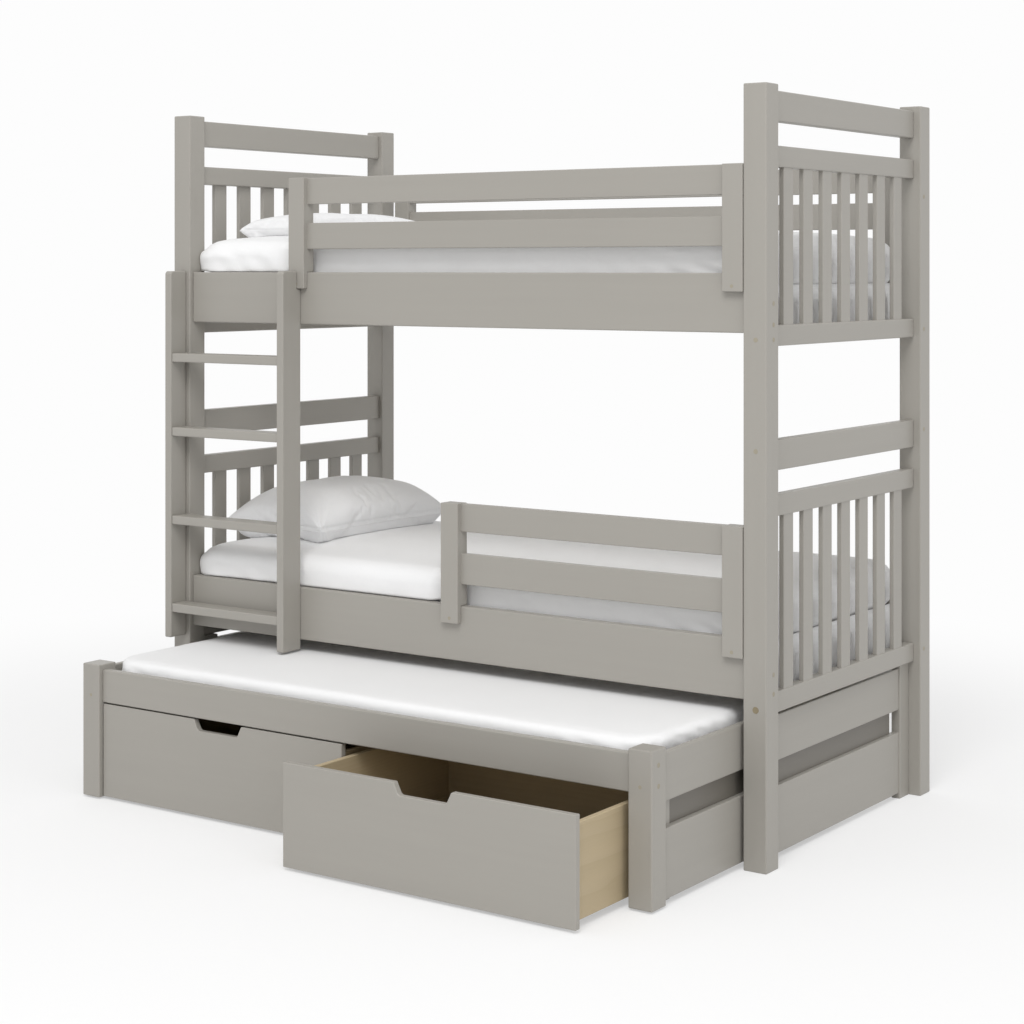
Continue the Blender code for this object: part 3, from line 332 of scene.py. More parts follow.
class Wiring:
    """Adds nodes to a tree and links them in one line each."""

    def __init__(self, tree):
        self.tree = tree

    def add(self, kind, settings=None, **inputs):
        node = self.tree.nodes.new(kind)
        for key, value in (settings or {}).items():
            setattr(node, key, value)
        for key, value in inputs.items():
            self.feed(node.inputs[self.find(node, key)], value)
        return node

    def find(self, node, key):
        if key.startswith("in_"):
            return int(key[3:])
        wanted = key.replace("_", " ").lower()
        for index, socket in enumerate(node.inputs):
            if socket.name.lower() == wanted and socket.enabled:
                return index
        raise KeyError(f"{node.bl_idname} has no input {key}")

    def feed(self, socket, value):
        if isinstance(value, bpy.types.NodeSocket):
            self.tree.links.new(value, socket)
        elif isinstance(value, bpy.types.Node):
            self.tree.links.new(value.outputs[0], socket)
        else:
            socket.default_value = value

    def maths(self, operation, *values):
        inputs = {f"in_{index}": value for index, value in enumerate(values)}
        return self.add("ShaderNodeMath", {"operation": operation}, **inputs).outputs[0]

    def mix(self, share, first, second):
        node = self.tree.nodes.new("ShaderNodeMix")
        node.data_type = "RGBA"
        self.feed(node.inputs["Factor"], share)
        self.feed(node.inputs[6], first)
        self.feed(node.inputs[7], second)
        return node.outputs[2]

    def stretched(self, vector, scale):
        node = self.add("ShaderNodeVectorMath", {"operation": "MULTIPLY"}, in_0=vector, in_1=scale)
        return node.outputs[0]

    def scaled(self, colour, shade):
        return self.add("ShaderNodeVectorMath", {"operation": "SCALE"}, in_0=colour, scale=shade)

    def noise(self, vector, scale, detail, roughness):
        place = self.stretched(vector, scale)
        node = self.add("ShaderNodeTexNoise", vector=place, scale=1.0, detail=detail, roughness=roughness)
        return node.outputs["Fac"]

    def varied(self, value, share, middle):
        """A value that a mask from 0 to 1 moves by up to half the share to either side of its middle."""
        return self.maths("MULTIPLY_ADD", self.maths("SUBTRACT", value, 0.5), share, middle)


def shader_group(name, inputs):
    """A group that turns a vector and the given inputs into a colour, a roughness and a height."""
    tree = bpy.data.node_groups.new(name, "ShaderNodeTree")
    add_socket(tree, "Vector", "INPUT", "Vector")
    for label, kind, value in inputs:
        add_socket(tree, label, "INPUT", kind, value)
    for label, kind in (("Color", "Color"), ("Roughness", "Float"), ("Height", "Float")):
        add_socket(tree, label, "OUTPUT", kind)
    enter = tree.nodes.new("NodeGroupInput")
    leave = tree.nodes.new("NodeGroupOutput")
    return tree, Wiring(tree), enter.outputs, leave.inputs


def make_satin_paint_group():
    """Sprayed satin paint over pine: the grain shows through a little, along the vector's X."""
    inputs = [("Paint", "Color", (*PAINT, 1)), ("Grain", "Float", PAINT_GRAIN)]
    tree, wiring, given, made = shader_group("satin_paint", inputs)
    vector = given["Vector"]
    streaks = wiring.noise(vector, *PAINT_STREAKS)
    blotches = wiring.noise(vector, *PAINT_BLOTCHES)
    fibres = wiring.noise(vector, *PAINT_FIBRES)
    peel = wiring.noise(vector, *PAINT_PEEL)
    figure = wiring.varied(streaks, given["Grain"], 1.0)
    shade = wiring.maths("ADD", figure, wiring.varied(blotches, *PAINT_BLOTCH_SHADE))
    wiring.feed(made["Color"], wiring.scaled(given["Paint"], shade))
    rough = wiring.varied(fibres, *PAINT_ROUGHNESS)
    patchy = wiring.varied(blotches, *PAINT_BLOTCH_ROUGHNESS)
    wiring.feed(made["Roughness"], wiring.maths("ADD", rough, patchy))
    grain = wiring.maths("MULTIPLY", fibres, streaks)
    wiring.feed(made["Height"], wiring.maths("MULTIPLY_ADD", peel, PEEL_SHARE, grain))
    return tree


def make_pine_group():
    """Bare sanded pine with its growth rings running along the vector's X."""
    inputs = [
        ("Early Wood", "Color", (*PINE_LIGHT, 1)),
        ("Late Wood", "Color", (*PINE_DARK, 1)),
        ("Rings", "Float", PINE_RINGS),
    ]
    tree, wiring, given, made = shader_group("bare_pine", inputs)
    vector = given["Vector"]
    rings = wiring.add(
        "ShaderNodeTexWave",
        {"wave_type": "RINGS", "rings_direction": "X", "wave_profile": "SAW"},
        vector=wiring.stretched(vector, RING_STRETCH),
        scale=given["Rings"],
        **RING_WOBBLE,
    ).outputs["Fac"]
    streaks = wiring.noise(vector, *PINE_STREAKS)
    fibres = wiring.noise(vector, *PINE_FIBRES)
    sharpened = wiring.maths("POWER", rings, LATE_WOOD_SHARPNESS)
    late = wiring.maths("MULTIPLY", sharpened, wiring.maths("MULTIPLY", streaks, LATE_WOOD_SHARE))
    colour = wiring.mix(late, given["Early Wood"], given["Late Wood"])
    streaky = wiring.varied(streaks, *PINE_STREAK_SHADE)
    shade = wiring.maths("ADD", streaky, wiring.varied(fibres, *PINE_FIBRE_SHADE))
    wiring.feed(made["Color"], wiring.scaled(colour, shade))
    wiring.feed(made["Roughness"], wiring.varied(streaks, *PINE_ROUGHNESS))
    wiring.feed(made["Height"], wiring.maths("MULTIPLY_ADD", rings, RING_SHARE, fibres))
    return tree


def make_cloth_group():
    """Plain cotton: crossed threads with a faint slub, and a soft mottling of its white."""
    inputs = [("Cotton", "Color", (*SHEET_WHITE, 1)), ("Threads", "Float", THREADS)]
    tree, wiring, given, made = shader_group("cotton_weave", inputs)
    vector = given["Vector"]
    threads = []
    for direction in ("X", "Y", "Z"):
        wave = wiring.add(
            "ShaderNodeTexWave",
            {"wave_type": "BANDS", "bands_direction": direction, "wave_profile": "SIN"},
            vector=wiring.stretched(vector, THREAD_STRETCH),
            scale=given["Threads"],
            **THREAD_WOBBLE,
        )
        threads.append(wave.outputs["Fac"])
    weave = wiring.maths("MULTIPLY", wiring.maths("MULTIPLY", threads[0], threads[1]), threads[2])
    slub = wiring.noise(vector, *COTTON_SLUB)
    mottle = wiring.noise(vector, *COTTON_MOTTLE)
    mottled = wiring.varied(mottle, *COTTON_MOTTLE_SHADE)
    shade = wiring.maths("ADD", mottled, wiring.varied(slub, *COTTON_SLUB_SHADE))
    wiring.feed(made["Color"], wiring.scaled(given["Cotton"], shade))
    wiring.feed(made["Roughness"], wiring.varied(slub, *COTTON_ROUGHNESS))
    wiring.feed(made["Height"], wiring.maths("MULTIPLY_ADD", slub, SLUB_SHARE, weave))
    return tree


def start_material(name):
    """A new material, its Principled shader and its wiring."""
    material = bpy.data.materials.new(name)
    material.use_nodes = True
    return material, material.node_tree.nodes["Principled BSDF"], Wiring(material.node_tree)


def add_relief(wiring, shader, height, depth):
    relief = wiring.add("ShaderNodeBump", height=height, strength=1.0, distance=depth)
    wiring.feed(shader.inputs["Normal"], relief)


def make_material(name, group, grain, depth, settings=None, **values):
    """A Principled material whose colour, roughness and height come from a group on Object coordinates."""
    material, shader, wiring = start_material(name)
    coordinates = wiring.add("ShaderNodeTexCoord").outputs["Object"]
    turned = wiring.add("ShaderNodeMapping", vector=coordinates, rotation=GRAIN_TURNS[grain])
    surface = wiring.add("ShaderNodeGroup", {"node_tree": group}, vector=turned, **values)
    wiring.feed(shader.inputs["Base Color"], surface.outputs["Color"])
    wiring.feed(shader.inputs["Roughness"], surface.outputs["Roughness"])
    add_relief(wiring, shader, surface.outputs["Height"], depth)
    for key, value in (settings or {}).items():
        shader.inputs[key].default_value = value
    return material


def make_plain_material(name, colour, pattern, roughness, metallic):
    """Moulded plastic or turned steel: one colour with fine scuffs in its colour and gloss."""
    material, shader, wiring = start_material(name)
    coordinates = wiring.add("ShaderNodeTexCoord").outputs["Object"]
    scuffs = wiring.noise(coordinates, *pattern)
    darker = tuple(SCUFFED_SHARE * value for value in colour)
    wiring.feed(shader.inputs["Base Color"], wiring.mix(scuffs, (*darker, 1), (*colour, 1)))
    wiring.feed(shader.inputs["Roughness"], wiring.varied(scuffs, *roughness))
    add_relief(wiring, shader, scuffs, SCUFF_RELIEF)
    shader.inputs["Metallic"].default_value = metallic
    return material


def make_materials():
    paint = make_satin_paint_group()
    pine = make_pine_group()
    cloth = make_cloth_group()
    made = {}
    for grain in GRAIN_TURNS:
        made[f"paint_{grain}"] = make_material(f"paint_along_{grain}", paint, grain, PAINT_RELIEF)
    for grain in ("x", "y"):
        made[f"pine_{grain}"] = make_material(f"pine_along_{grain}", pine, grain, PINE_RELIEF)
    # The slots' backing panels: satin paint in a dark grey that is painted shade
    made["panel"] = make_material("slot_shade_panel", paint, "y", PANEL_RELIEF, paint=(*SLOT_SHADE_GREY, 1))
    for name, light, dark in (("plug", PLUG_LIGHT, PLUG_DARK), ("big_plug", BIG_PLUG_LIGHT, BIG_PLUG_DARK)):
        woods = {"early_wood": (*light, 1), "late_wood": (*dark, 1), "rings": PLUG_RINGS}
        made[name] = make_material(f"{name}_wood", pine, "z", PLUG_RELIEF, **woods)
    made["sheet"] = make_material("cotton_sheet", cloth, "x", SHEET_RELIEF, CLOTH_SHEEN)
    cotton = (*PILLOW_WHITE, 1)
    made["pillow"] = make_material("cotton_pillow", cloth, "x", PILLOW_RELIEF, CLOTH_SHEEN, cotton=cotton)
    made["plastic"] = make_plain_material("wheel_plastic", WHEEL_BLACK, PLASTIC_SCUFFS, PLASTIC_ROUGHNESS, 0)
    made["steel"] = make_plain_material("pin_steel", STEEL, STEEL_SCUFFS, STEEL_ROUGHNESS, 1)
    return made


MATERIALS = make_materials()


# Finishes of the CAD nodes

def corner_posts(kind):
    return [f"{kind}_{face}_{side_name}" for _, face in FACES for _, side_name in SIDES]


def dress(node, names, choose=None):
    """Gives a CAD node its materials. A rule picks one for each face from the face's middle."""
    mesh = NODES[node].data
    mesh.materials.clear()
    for name in names:
        mesh.materials.append(MATERIALS[name])
    for face in mesh.polygons:
        face.material_index = choose(face.center) if choose else 0


def dress_end_panel(node):
    """Rails from front to back, and upright slats between them, set in from both faces."""
    low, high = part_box(node)
    inside = (high[0] - low[0]) * END_RAIL_FACE_SHARE
    dress(node, ("paint_y", "paint_z"), lambda p: int(low[0] + inside < p[0] < high[0] - inside))


def dress_guard(node):
    """Upright wood at the ends, and boards along the bed between them."""
    low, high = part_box(node)
    start, end = low[0] + GUARD_UPRIGHT_WIDTH, high[0] - GUARD_UPRIGHT_WIDTH
    dress(node, ("paint_x", "paint_z"), lambda p: int(not start < p[0] < end))


def dress_guide(node, side):
    """Boards from front to back between two uprights, and a panel set back in the slot between, whose dark
    grey is painted shade.
    """
    low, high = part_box(node)

    def choose(p):
        if not low[1] + GUIDE_UPRIGHT_WIDTH < p[1] < high[1] - GUIDE_UPRIGHT_WIDTH:
            return 1
        # Panel faces in the slot take the dark grey of painted shade
        in_slot = GUIDE_SLOT[0] < p[2] < GUIDE_SLOT[1]
        return 2 if in_slot and side * p[0] < GUIDE_PANEL_REACH else 0

    dress(node, ("paint_y", "paint_z", "panel"), choose)


def dress_trundle_end(node, side):
    """Boards from front to back, cleats and a backing inside them whose dark grey is painted shade, and a
    steel pin on each cleat.
    """

    def choose(p):
        reach = side * p[0]
        if reach < CLEAT_REACH:
            return 2
        # Backing faces in the slot take the dark grey of painted shade
        if TRUNDLE_SLOT[0] < p[2] < TRUNDLE_SLOT[1] and reach < BACKING_REACH:
            return 3
        return int(reach < TRUNDLE_BOARD_REACH)

    dress(node, ("paint_y", "paint_z", "steel", "panel"), choose)


def dress_box(node):
    """Sides and floor from front to back, a back across the drawer, and steel pins below the floor."""
    low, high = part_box(node)

    def choose(p):
        if p[2] < BOX_PIN_TOP and min(p[0] - low[0], high[0] - p[0]) > BOX_PIN_IN:
            return 2
        across = low[0] + BOX_WALL < p[0] < high[0] - BOX_WALL
        return int(across and p[1] > high[1] - BOX_BACK and p[2] > BOX_FLOOR_TOP)

    dress(node, ("pine_y", "pine_x", "steel"), choose)


def dress_slat_base(node):
    """Slats across the bed over two battens along it."""
    thick = TRUNDLE_SLAT_THICK if "trundle" in node else SLAT_THICK
    slat_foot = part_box(node)[1][2] - thick
    dress(node, ("pine_y", "pine_x"), lambda p: int(p[2] < slat_foot))


def dress_nodes():
    for post in corner_posts("post") + corner_posts("trundle_post"):
        dress(post, ("paint_z",))
    for side, side_name in SIDES:
        for level in LEVELS:
            dress(f"end_top_rail_{level}_{side_name}", ("paint_y",))
            dress_end_panel(f"end_panel_{level}_{side_name}")
        dress(f"ladder_stile_{side_name}", ("paint_z",))
        dress(f"drawer_{side_name}_front", ("paint_x",))
        dress_box(f"drawer_{side_name}_box")
        dress_guide(f"trundle_guide_{side_name}", side)
        dress_trundle_end(f"trundle_end_{side_name}", side)
    for _, face in FACES:
        for rail in ("trundle_rail", "side_rail_upper", "side_rail_lower"):
            dress(f"{rail}_{face}", ("paint_x",))
    for guard, _ in GUARDS:
        dress_guard(guard)
    for number in (1, 2, 3, 4):
        dress(f"ladder_tread_{number}", ("paint_x",))
    for base in ("slat_base_upper", "slat_base_lower", "trundle_slat_base"):
        dress_slat_base(base)


def evaluated_mesh(obj):
    return bpy.data.meshes.new_from_object(obj.evaluated_get(bpy.context.evaluated_depsgraph_get()))


def apply_modifiers(obj):
    """Puts the evaluated mesh in the place of the object's own, and drops its modifiers."""
    mesh = evaluated_mesh(obj)
    old = obj.data
    obj.modifiers.clear()
    obj.data = mesh
    bpy.data.meshes.remove(old)


def mesh_from(bm, name):
    mesh = bpy.data.meshes.new(name)
    bm.to_mesh(mesh)
    bm.free()
    return mesh


def join_rings(bm, ring, after):
    """Faces between two closed rings of as many points."""
    for i in range(len(ring)):
        j = (i + 1) % len(ring)
        bm.faces.new((ring[i], ring[j], after[j], after[i]))


def surface_tree(obj):
    faces = [list(face.vertices) for face in obj.data.polygons]
    return BVHTree.FromPolygons([vertex.co for vertex in obj.data.vertices], faces)


def finish_piece(obj, name, material, body, slot, *nodes):
    """Names a piece and its mesh, gives it its material, and sets it on its body."""
    obj.name = name
    obj.data.name = name
    obj.data.materials.clear()
    obj.data.materials.append(MATERIALS[material])
    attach(obj, body)
    if nodes:
        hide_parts(*nodes)


# Plugs over the bolts

def make_plug_tree():
    """Sets a chamfered plug on every point, turned to the way that the point faces."""
    tree = bpy.data.node_groups.new("plugs_on_points", "GeometryNodeTree")
    add_socket(tree, "Geometry", "INPUT", "Geometry")
    for name, value in PLUG_FORM.items():
        add_socket(tree, name, "INPUT", "Int" if name == "Facets" else "Float", value)
    add_socket(tree, "Geometry", "OUTPUT", "Geometry")
    wiring = Wiring(tree)
    given = tree.nodes.new("NodeGroupInput").outputs
    narrow = wiring.maths("SUBTRACT", given["Radius"], given["Chamfer"])
    plug = wiring.add(
        "GeometryNodeMeshCone",
        vertices=given["Facets"],
        radius_top=narrow,
        radius_bottom=given["Radius"],
        depth=given["Depth"],
    )
    facing = wiring.add("GeometryNodeInputNamedAttribute", {"data_type": "FLOAT_VECTOR"}, name="facing")
    size = wiring.add("GeometryNodeInputNamedAttribute", {"data_type": "FLOAT"}, name="size")
    way = facing.outputs["Attribute"]
    turn = wiring.add("FunctionNodeAlignRotationToVector", {"axis": "Z"}, vector=way)
    placed = wiring.add(
        "GeometryNodeInstanceOnPoints",
        points=given["Geometry"],
        instance=plug.outputs["Mesh"],
        rotation=turn,
        scale=size.outputs["Attribute"],
    )
    solid = wiring.add("GeometryNodeRealizeInstances", geometry=placed)
    dressed = wiring.add("GeometryNodeSetMaterial", geometry=solid, material=MATERIALS["plug"])
    wiring.feed(tree.nodes.new("NodeGroupOutput").inputs[0], dressed)
    return tree


def set_tree_inputs(modifier, **values):
    for item in modifier.node_group.interface.items_tree:
        if item.item_type == "SOCKET" and item.in_out == "INPUT" and item.name in values:
            modifier[item.identifier] = values[item.name]


def face_place(box, axis, way, inward=0.0):
    """Where a box's face to one way lies along an axis, or a point that far in from it."""
    return box[1][axis] - inward if way > 0 else box[0][axis] + inward


def bunk_plugs():
    """(place, facing, size) of each plug on the fixed bed. The front left post has none on its front."""
    plugs = []
    for side, side_name in SIDES:
        boxes = {face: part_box(f"post_{face}_{side_name}") for _, face in FACES}
        for way, face in FACES:
            x = face_place(boxes[face], 0, side)
            y = face_place(boxes[face], 1, way, POST_SIDE_PLUG_IN[face])
            plugs += [((x, y, z), (side, 0, 0), 1.0) for z in POST_SIDE_PLUGS[face]]
        for way, face in FACES:
            x = face_place(boxes[face], 0, side, FACE_PLUG_IN)
            y = face_place(boxes[face], 1, way)
            if (face, side_name) != ("front", "left"):
                plugs += [((x, y, z), (0, way, 0), size) for z, size in POST_FACE_PLUGS]
    for guard, way in GUARDS:
        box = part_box(guard)
        y, z = face_place(box, 1, way), box[0][2] + GUARD_PLUG_UP
        for side, _ in SIDES:
            x = face_place(box, 0, side, FACE_PLUG_IN)
            plugs.append(((x, y, z), (0, way, 0), SMALL_PLUG_SHARE))
    return plugs


def trundle_plugs():
    """(place, facing, size) of each plug on the trundle's posts."""
    plugs = []
    for side, side_name in SIDES:
        for way, face in FACES:
            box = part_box(f"trundle_post_{face}_{side_name}")
            x, y = face_place(box, 0, side), face_place(box, 1, way, FACE_PLUG_IN)
            plugs += [((x, y, z), (side, 0, 0), 1.0) for z in TRUNDLE_SIDE_PLUGS]
            middle_x, face_y = (box[0][0] + box[1][0]) / 2, face_place(box, 1, way)
            plugs.append(((middle_x, face_y, TRUNDLE_FACE_PLUG), (0, way, 0), SMALL_PLUG_SHARE))
    return plugs


def make_plugs(tree, name, body, plugs, material="plug"):
    """One piece of all the given plugs, each a little proud of the wood."""
    mesh = bpy.data.meshes.new(name)
    sunk = PLUG_FORM["Depth"] - PLUG_PROUD
    mesh.from_pydata([Vector(place) - Vector(facing) * sunk for place, facing, _ in plugs], [], [])
    facing = mesh.attributes.new("facing", "FLOAT_VECTOR", "POINT")
    facing.data.foreach_set("vector", [value for _, way, _ in plugs for value in way])
    size = mesh.attributes.new("size", "FLOAT", "POINT")
    size.data.foreach_set("value", [value for _, _, value in plugs])
    obj = add_object(name, mesh)
    modifier = obj.modifiers.new("plugs", "NODES")
    modifier.node_group = tree
    set_tree_inputs(modifier, **PLUG_FORM)
    apply_modifiers(obj)
    finish_piece(obj, name, material, body, "bare_wood")


# Wheels

def wheel_section(radius, half, bore):
    """(radius, x) round a wheel's section: bore, hub, dished web, rim and rounded tread, on both sides."""
    hub = bore + HUB_WIDTH
    rim = radius - TYRE_ROUND - RIM_WIDTH
    side = [(bore, half - HUB_STEP), (bore + HUB_STEP, half), (hub - HUB_STEP, half)]
    side += [(hub, half - HUB_STEP), (hub + HUB_STEP, half - DISH_DEPTH)]
    side += [(rim - HUB_STEP, half - DISH_DEPTH), (rim, half)]
    for step in range(TYRE_STEPS + 1):
        angle = step / TYRE_STEPS * pi / 2
        inner = radius - TYRE_ROUND
        side.append((inner + TYRE_ROUND * sin(angle), half - TYRE_ROUND * (1 - cos(angle))))
    return side + [(r, -x) for r, x in reversed(side)]


def make_wheel(node, bore):
    low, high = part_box(node)
    middle = (Vector(low) + Vector(high)) / 2
    section = wheel_section((high[2] - low[2]) / 2, (high[0] - low[0]) / 2, bore)
    bm = bmesh.new()
    rings = []
    for turn in range(WHEEL_TURNS):
        angle = 2 * pi * turn / WHEEL_TURNS
        ring = [middle + Vector((x, r * cos(angle), r * sin(angle))) for r, x in section]
        rings.append([bm.verts.new(point) for point in ring])
    for turn in range(WHEEL_TURNS):
        join_rings(bm, rings[turn], rings[(turn + 1) % WHEEL_TURNS])
    bmesh.ops.recalc_face_normals(bm, faces=bm.faces)
    mesh = mesh_from(bm, node)
    mesh.shade_smooth()
    mesh.set_sharp_from_angle(angle=radians(WHEEL_CREASE))
    obj = add_object(node, mesh)
    finish_piece(obj, f"turned_{node}", "plastic", BODY_OF[node], "wheel_plastic", node)


def make_fittings():
    tree = make_plug_tree()
    plugs = bunk_plugs()
    small = [plug for plug in plugs if plug[2] < BIG_PLUG_SHARE]
    big = [plug for plug in plugs if plug[2] == BIG_PLUG_SHARE]
    make_plugs(tree, "bunk_plugs", "root", small)
    make_plugs(tree, "big_bunk_plugs", "root", big, "big_plug")
    make_plugs(tree, "trundle_plugs", "trundle", trundle_plugs())
    for node in sorted(NODES):
        if "_wheel_" in node:
            make_wheel(node, TRUNDLE_WHEEL_BORE if node.startswith("trundle") else DRAWER_WHEEL_BORE)


# Bedding

def ripple(x, y, z):
    """Smooth noise, about -1 to 1, with one wave or so to each unit."""
    return noise.noise(Vector((x, y, z)))


def fading(distance, reach):
    """A bell that is 1 at no distance and has all but gone at twice the reach."""
    return exp(-((distance / reach) ** 2))


def eased(share):
    share = min(max(share, 0), 1)
    return share * share * (3 - 2 * share)


def remesh(obj, voxel):
    modifier = obj.modifiers.new("voxels", "REMESH")
    modifier.mode = "VOXEL"
    modifier.voxel_size = voxel
    apply_modifiers(obj)


def swell(obj, cap, growth):
    """Lets the cover swell as stuffed cloth, with no point moving further than the cap."""
    start = [vertex.co.copy() for vertex in obj.data.vertices]
    cloth = obj.modifiers.new("swelling", "CLOTH")
    cloth.settings.quality = SWELL_QUALITY
    cloth.settings.use_pressure = True
    cloth.settings.uniform_pressure_force = SWELL_PRESSURE
    cloth.settings.shrink_min = -growth
    cloth.settings.effector_weights.gravity = 0
    cloth.collision_settings.use_collision = False
    cloth.point_cache.frame_end = SWELL_FRAMES
    for number in range(1, SWELL_FRAMES + 1):
        bpy.context.scene.frame_set(number)
    apply_modifiers(obj)
    bpy.context.scene.frame_set(1)
    for vertex, old in zip(obj.data.vertices, start):
        travel = vertex.co - old
        if travel.length > cap:
            vertex.co = old + travel * (cap / travel.length)


def subdivide(obj):
    modifier = obj.modifiers.new("finer", "SUBSURF")
    modifier.levels = 1
    modifier.render_levels = 1
    apply_modifiers(obj)


def ruffle(obj, offset):
    """Moves each point along its normal by what the rule gives for the point and the normal."""
    moves = [vertex.normal * offset(vertex.co, vertex.normal) for vertex in obj.data.vertices]
    for vertex, move in zip(obj.data.vertices, moves):
        vertex.co += move


# Mattresses

def rounded_ring(half_x, half_y, corner):
    """Points round a rectangle with round corners."""
    ring = []
    for quarter, (sx, sy) in enumerate(((1, 1), (-1, 1), (-1, -1), (1, -1))):
        for i in range(CORNER_STEPS):
            angle = (quarter + i / (CORNER_STEPS - 1)) * pi / 2
            x = sx * (half_x - corner) + corner * cos(angle)
            y = sy * (half_y - corner) + corner * sin(angle)
            ring.append((x, y))
    return ring


def drawn_in(z, top, edge):
    """How far a round edge of that radius has drawn in at a height, near the foot and the top of a side."""
    within = min(z, top - z, edge) / edge
    return edge * (1 - (1 - (1 - within) ** 2) ** 0.5)


def mattress_rings(height, edge, end_edge, crown):
    """(inset at the ends, inset at the sides, z) of each ring, up the sides and over the crown."""
    side_top = height - crown
    quarter = [i / EDGE_STEPS * pi / 2 for i in range(EDGE_STEPS + 1)]
    levels = [edge * (1 - cos(a)) for a in quarter]
    levels += [edge + i / SIDE_STEPS * (side_top - 2 * edge) for i in range(1, SIDE_STEPS)]
    levels += [side_top - edge * (1 - sin(a)) for a in quarter]
    rings = [(drawn_in(z, side_top, end_edge), drawn_in(z, side_top, edge), z) for z in levels]
    for i in range(1, CROWN_STEPS + 1):
        run = i / CROWN_STEPS * CROWN_RUN
        rise = crown * (1 - cos(i / CROWN_STEPS * pi)) / 2
        rings.append((end_edge + run, edge + run, side_top + rise))
    return rings


def mattress_mesh(low, high, corner, edge, end_edge, crown):
    """A closed foam block with round corners, soft sides and softer ends, inside the given box."""
    half_x, half_y = (high[0] - low[0]) / 2, (high[1] - low[1]) / 2
    middle = Vector(((low[0] + high[0]) / 2, (low[1] + high[1]) / 2, low[2]))
    bm = bmesh.new()
    levels = []
    for end_inset, side_inset, z in mattress_rings(high[2] - low[2], edge, end_edge, crown):
        rounding = max(corner - side_inset, MATTRESS_LEAST_CORNER)
        ring = rounded_ring(half_x - end_inset, half_y - side_inset, rounding)
        levels.append([bm.verts.new(middle + Vector((px, py, z))) for px, py in ring])
    for lower, upper in zip(levels, levels[1:]):
        join_rings(bm, lower, upper)
    bm.faces.new(list(reversed(levels[0])))
    bm.faces.new(levels[-1])
    return mesh_from(bm, "mattress_form")


def keep_inside(obj, low, high):
    for vertex in obj.data.vertices:
        for axis in range(3):
            vertex.co[axis] = min(max(vertex.co[axis], low[axis]), high[axis])


def keep_clear(obj, posts):
    """Moves points that would lie in a post, seen from above, to just outside its nearest face."""
    for post in posts:
        low, high = (Vector(corner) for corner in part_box(post))
        for vertex in obj.data.vertices:
            gaps = [(low[axis] - POST_CLEARANCE - vertex.co[axis], axis) for axis in (0, 1)]
            gaps += [(high[axis] + POST_CLEARANCE - vertex.co[axis], axis) for axis in (0, 1)]
            if gaps[0][0] < 0 and gaps[1][0] < 0 and gaps[2][0] > 0 and gaps[3][0] > 0:
                gap, axis = min(gaps, key=lambda pair: abs(pair[0]))
                vertex.co[axis] += gap


def settle_over_rail(obj, level):
    """Lets the front of a mattress swell out over its side rail, as far along as the guard."""
    rail_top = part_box(f"side_rail_{level}_front")[1][2]
    end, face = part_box(f"mattress_{level}")[0][:2]
    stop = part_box(f"guard_{level}_front")[0][0]
    for vertex in obj.data.vertices:
        along = eased((stop - vertex.co.x) / OVERHANG_FADE - OVERHANG_SHORT_SHARE)
        near = eased(1 - (vertex.co.y - face) / OVERHANG_DEPTH)
        corner = eased(1 - (vertex.co.x - end) / OVERHANG_CORNER)
        up = vertex.co.z - rail_top - RAIL_CLEARANCE
        rise = eased(up / OVERHANG_RISE)
        if along > 0 and -RAIL_BAND < up < 0 and abs(vertex.co.y - face) < RAIL_BAND:
            vertex.co.z = rail_top + RAIL_CLEARANCE
        elif 0 < up < SETTLED_BAND:
            vertex.co.z -= along * near * up * (1 - up / SETTLED_BAND)
        vertex.co.y -= OVERHANG * rise * along * near
        vertex.co.x -= OVERHANG_SQUARED * rise * along * near * corner


def mattress_folds(low, high, seed):
    """A rule for the faint folds of a fitted sheet: waves on top, and gathers down the ends and corners."""

    def offset(point, normal):
        wave = ripple(point.x * WAVES[0], point.y * WAVES[1], seed)
        fine = ripple(point.x * FINE_WAVES[0], point.y * FINE_WAVES[1], seed + FINE_WAVE_SEED)
        top = WAVE_HEIGHT * wave + FINE_WAVE_HEIGHT * fine
        from_end = min(point.x - low[0], high[0] - point.x)
        from_side = min(point.y - low[1], high[1] - point.y)
        near = fading(from_end, GATHER_FROM_END)
        near += fading(from_side, GATHER_FROM_SIDE) * fading(from_end, GATHER_ALONG_SIDE)
        lean = (point.z - low[2]) * GATHER_LEAN
        x, y = (point.x + lean) * GATHERS[0], (point.y + lean) * GATHERS[1]
        gather = ripple(x, y, point.z * GATHERS[2] + seed)
        side = (1 - abs(normal.z)) * (GATHER_HEIGHT * near * gather + SIDE_WAVE_HEIGHT * wave)
        pleat = ripple(seed, point.y * END_PLEATS[0], point.z * END_PLEATS[1])
        side += abs(normal.x) ** 2 * END_PLEAT_HEIGHT * pleat
        return top * abs(normal.z) + side

    return offset


def make_mattress(node, form, voxel, start, room, posts):
    """A mattress in a white fitted sheet, in the space of its solid, clear of the posts at its corners."""
    name, place = f"sheeted_{node}", node.removeprefix("mattress_")
    low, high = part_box(node)
    obj = add_object(name, mattress_mesh(*start, *form))
    remesh(obj, voxel)
    swell(obj, MATTRESS_CAP, MATTRESS_GROWTH)
    subdivide(obj)
    ruffle(obj, mattress_folds(low, high, SEEDS[place]))
    keep_inside(obj, *room)
    if place in LEVELS:
        settle_over_rail(obj, place)
    keep_clear(obj, posts)
    obj.data.shade_smooth()
    finish_piece(obj, name, "sheet", BODY_OF[node], "mattress_cover", node)
    return obj


# Pillows

def pillow_point(u, v, width, length, height, above):
    """A point of the upper or the lower face. u and v run from -1 to 1 across and along the pillow."""
    x = width / 2 * u * (1 - PILLOW_DRAW_SHARE * (1 - v * v))
    y = length / 2 * v * (1 - PILLOW_DRAW_SHARE * (1 - u * u))
    swollen = ((1 - u**PILLOW_SQUARENESS) * (1 - v**PILLOW_SQUARENESS)) ** PILLOW_BELLY_SHARE
    seam = PILLOW_SEAM_SHARE * height
    z = seam + (height - seam) * swollen if above else max(seam - height * swollen, 0)
    return Vector((x, y, z))


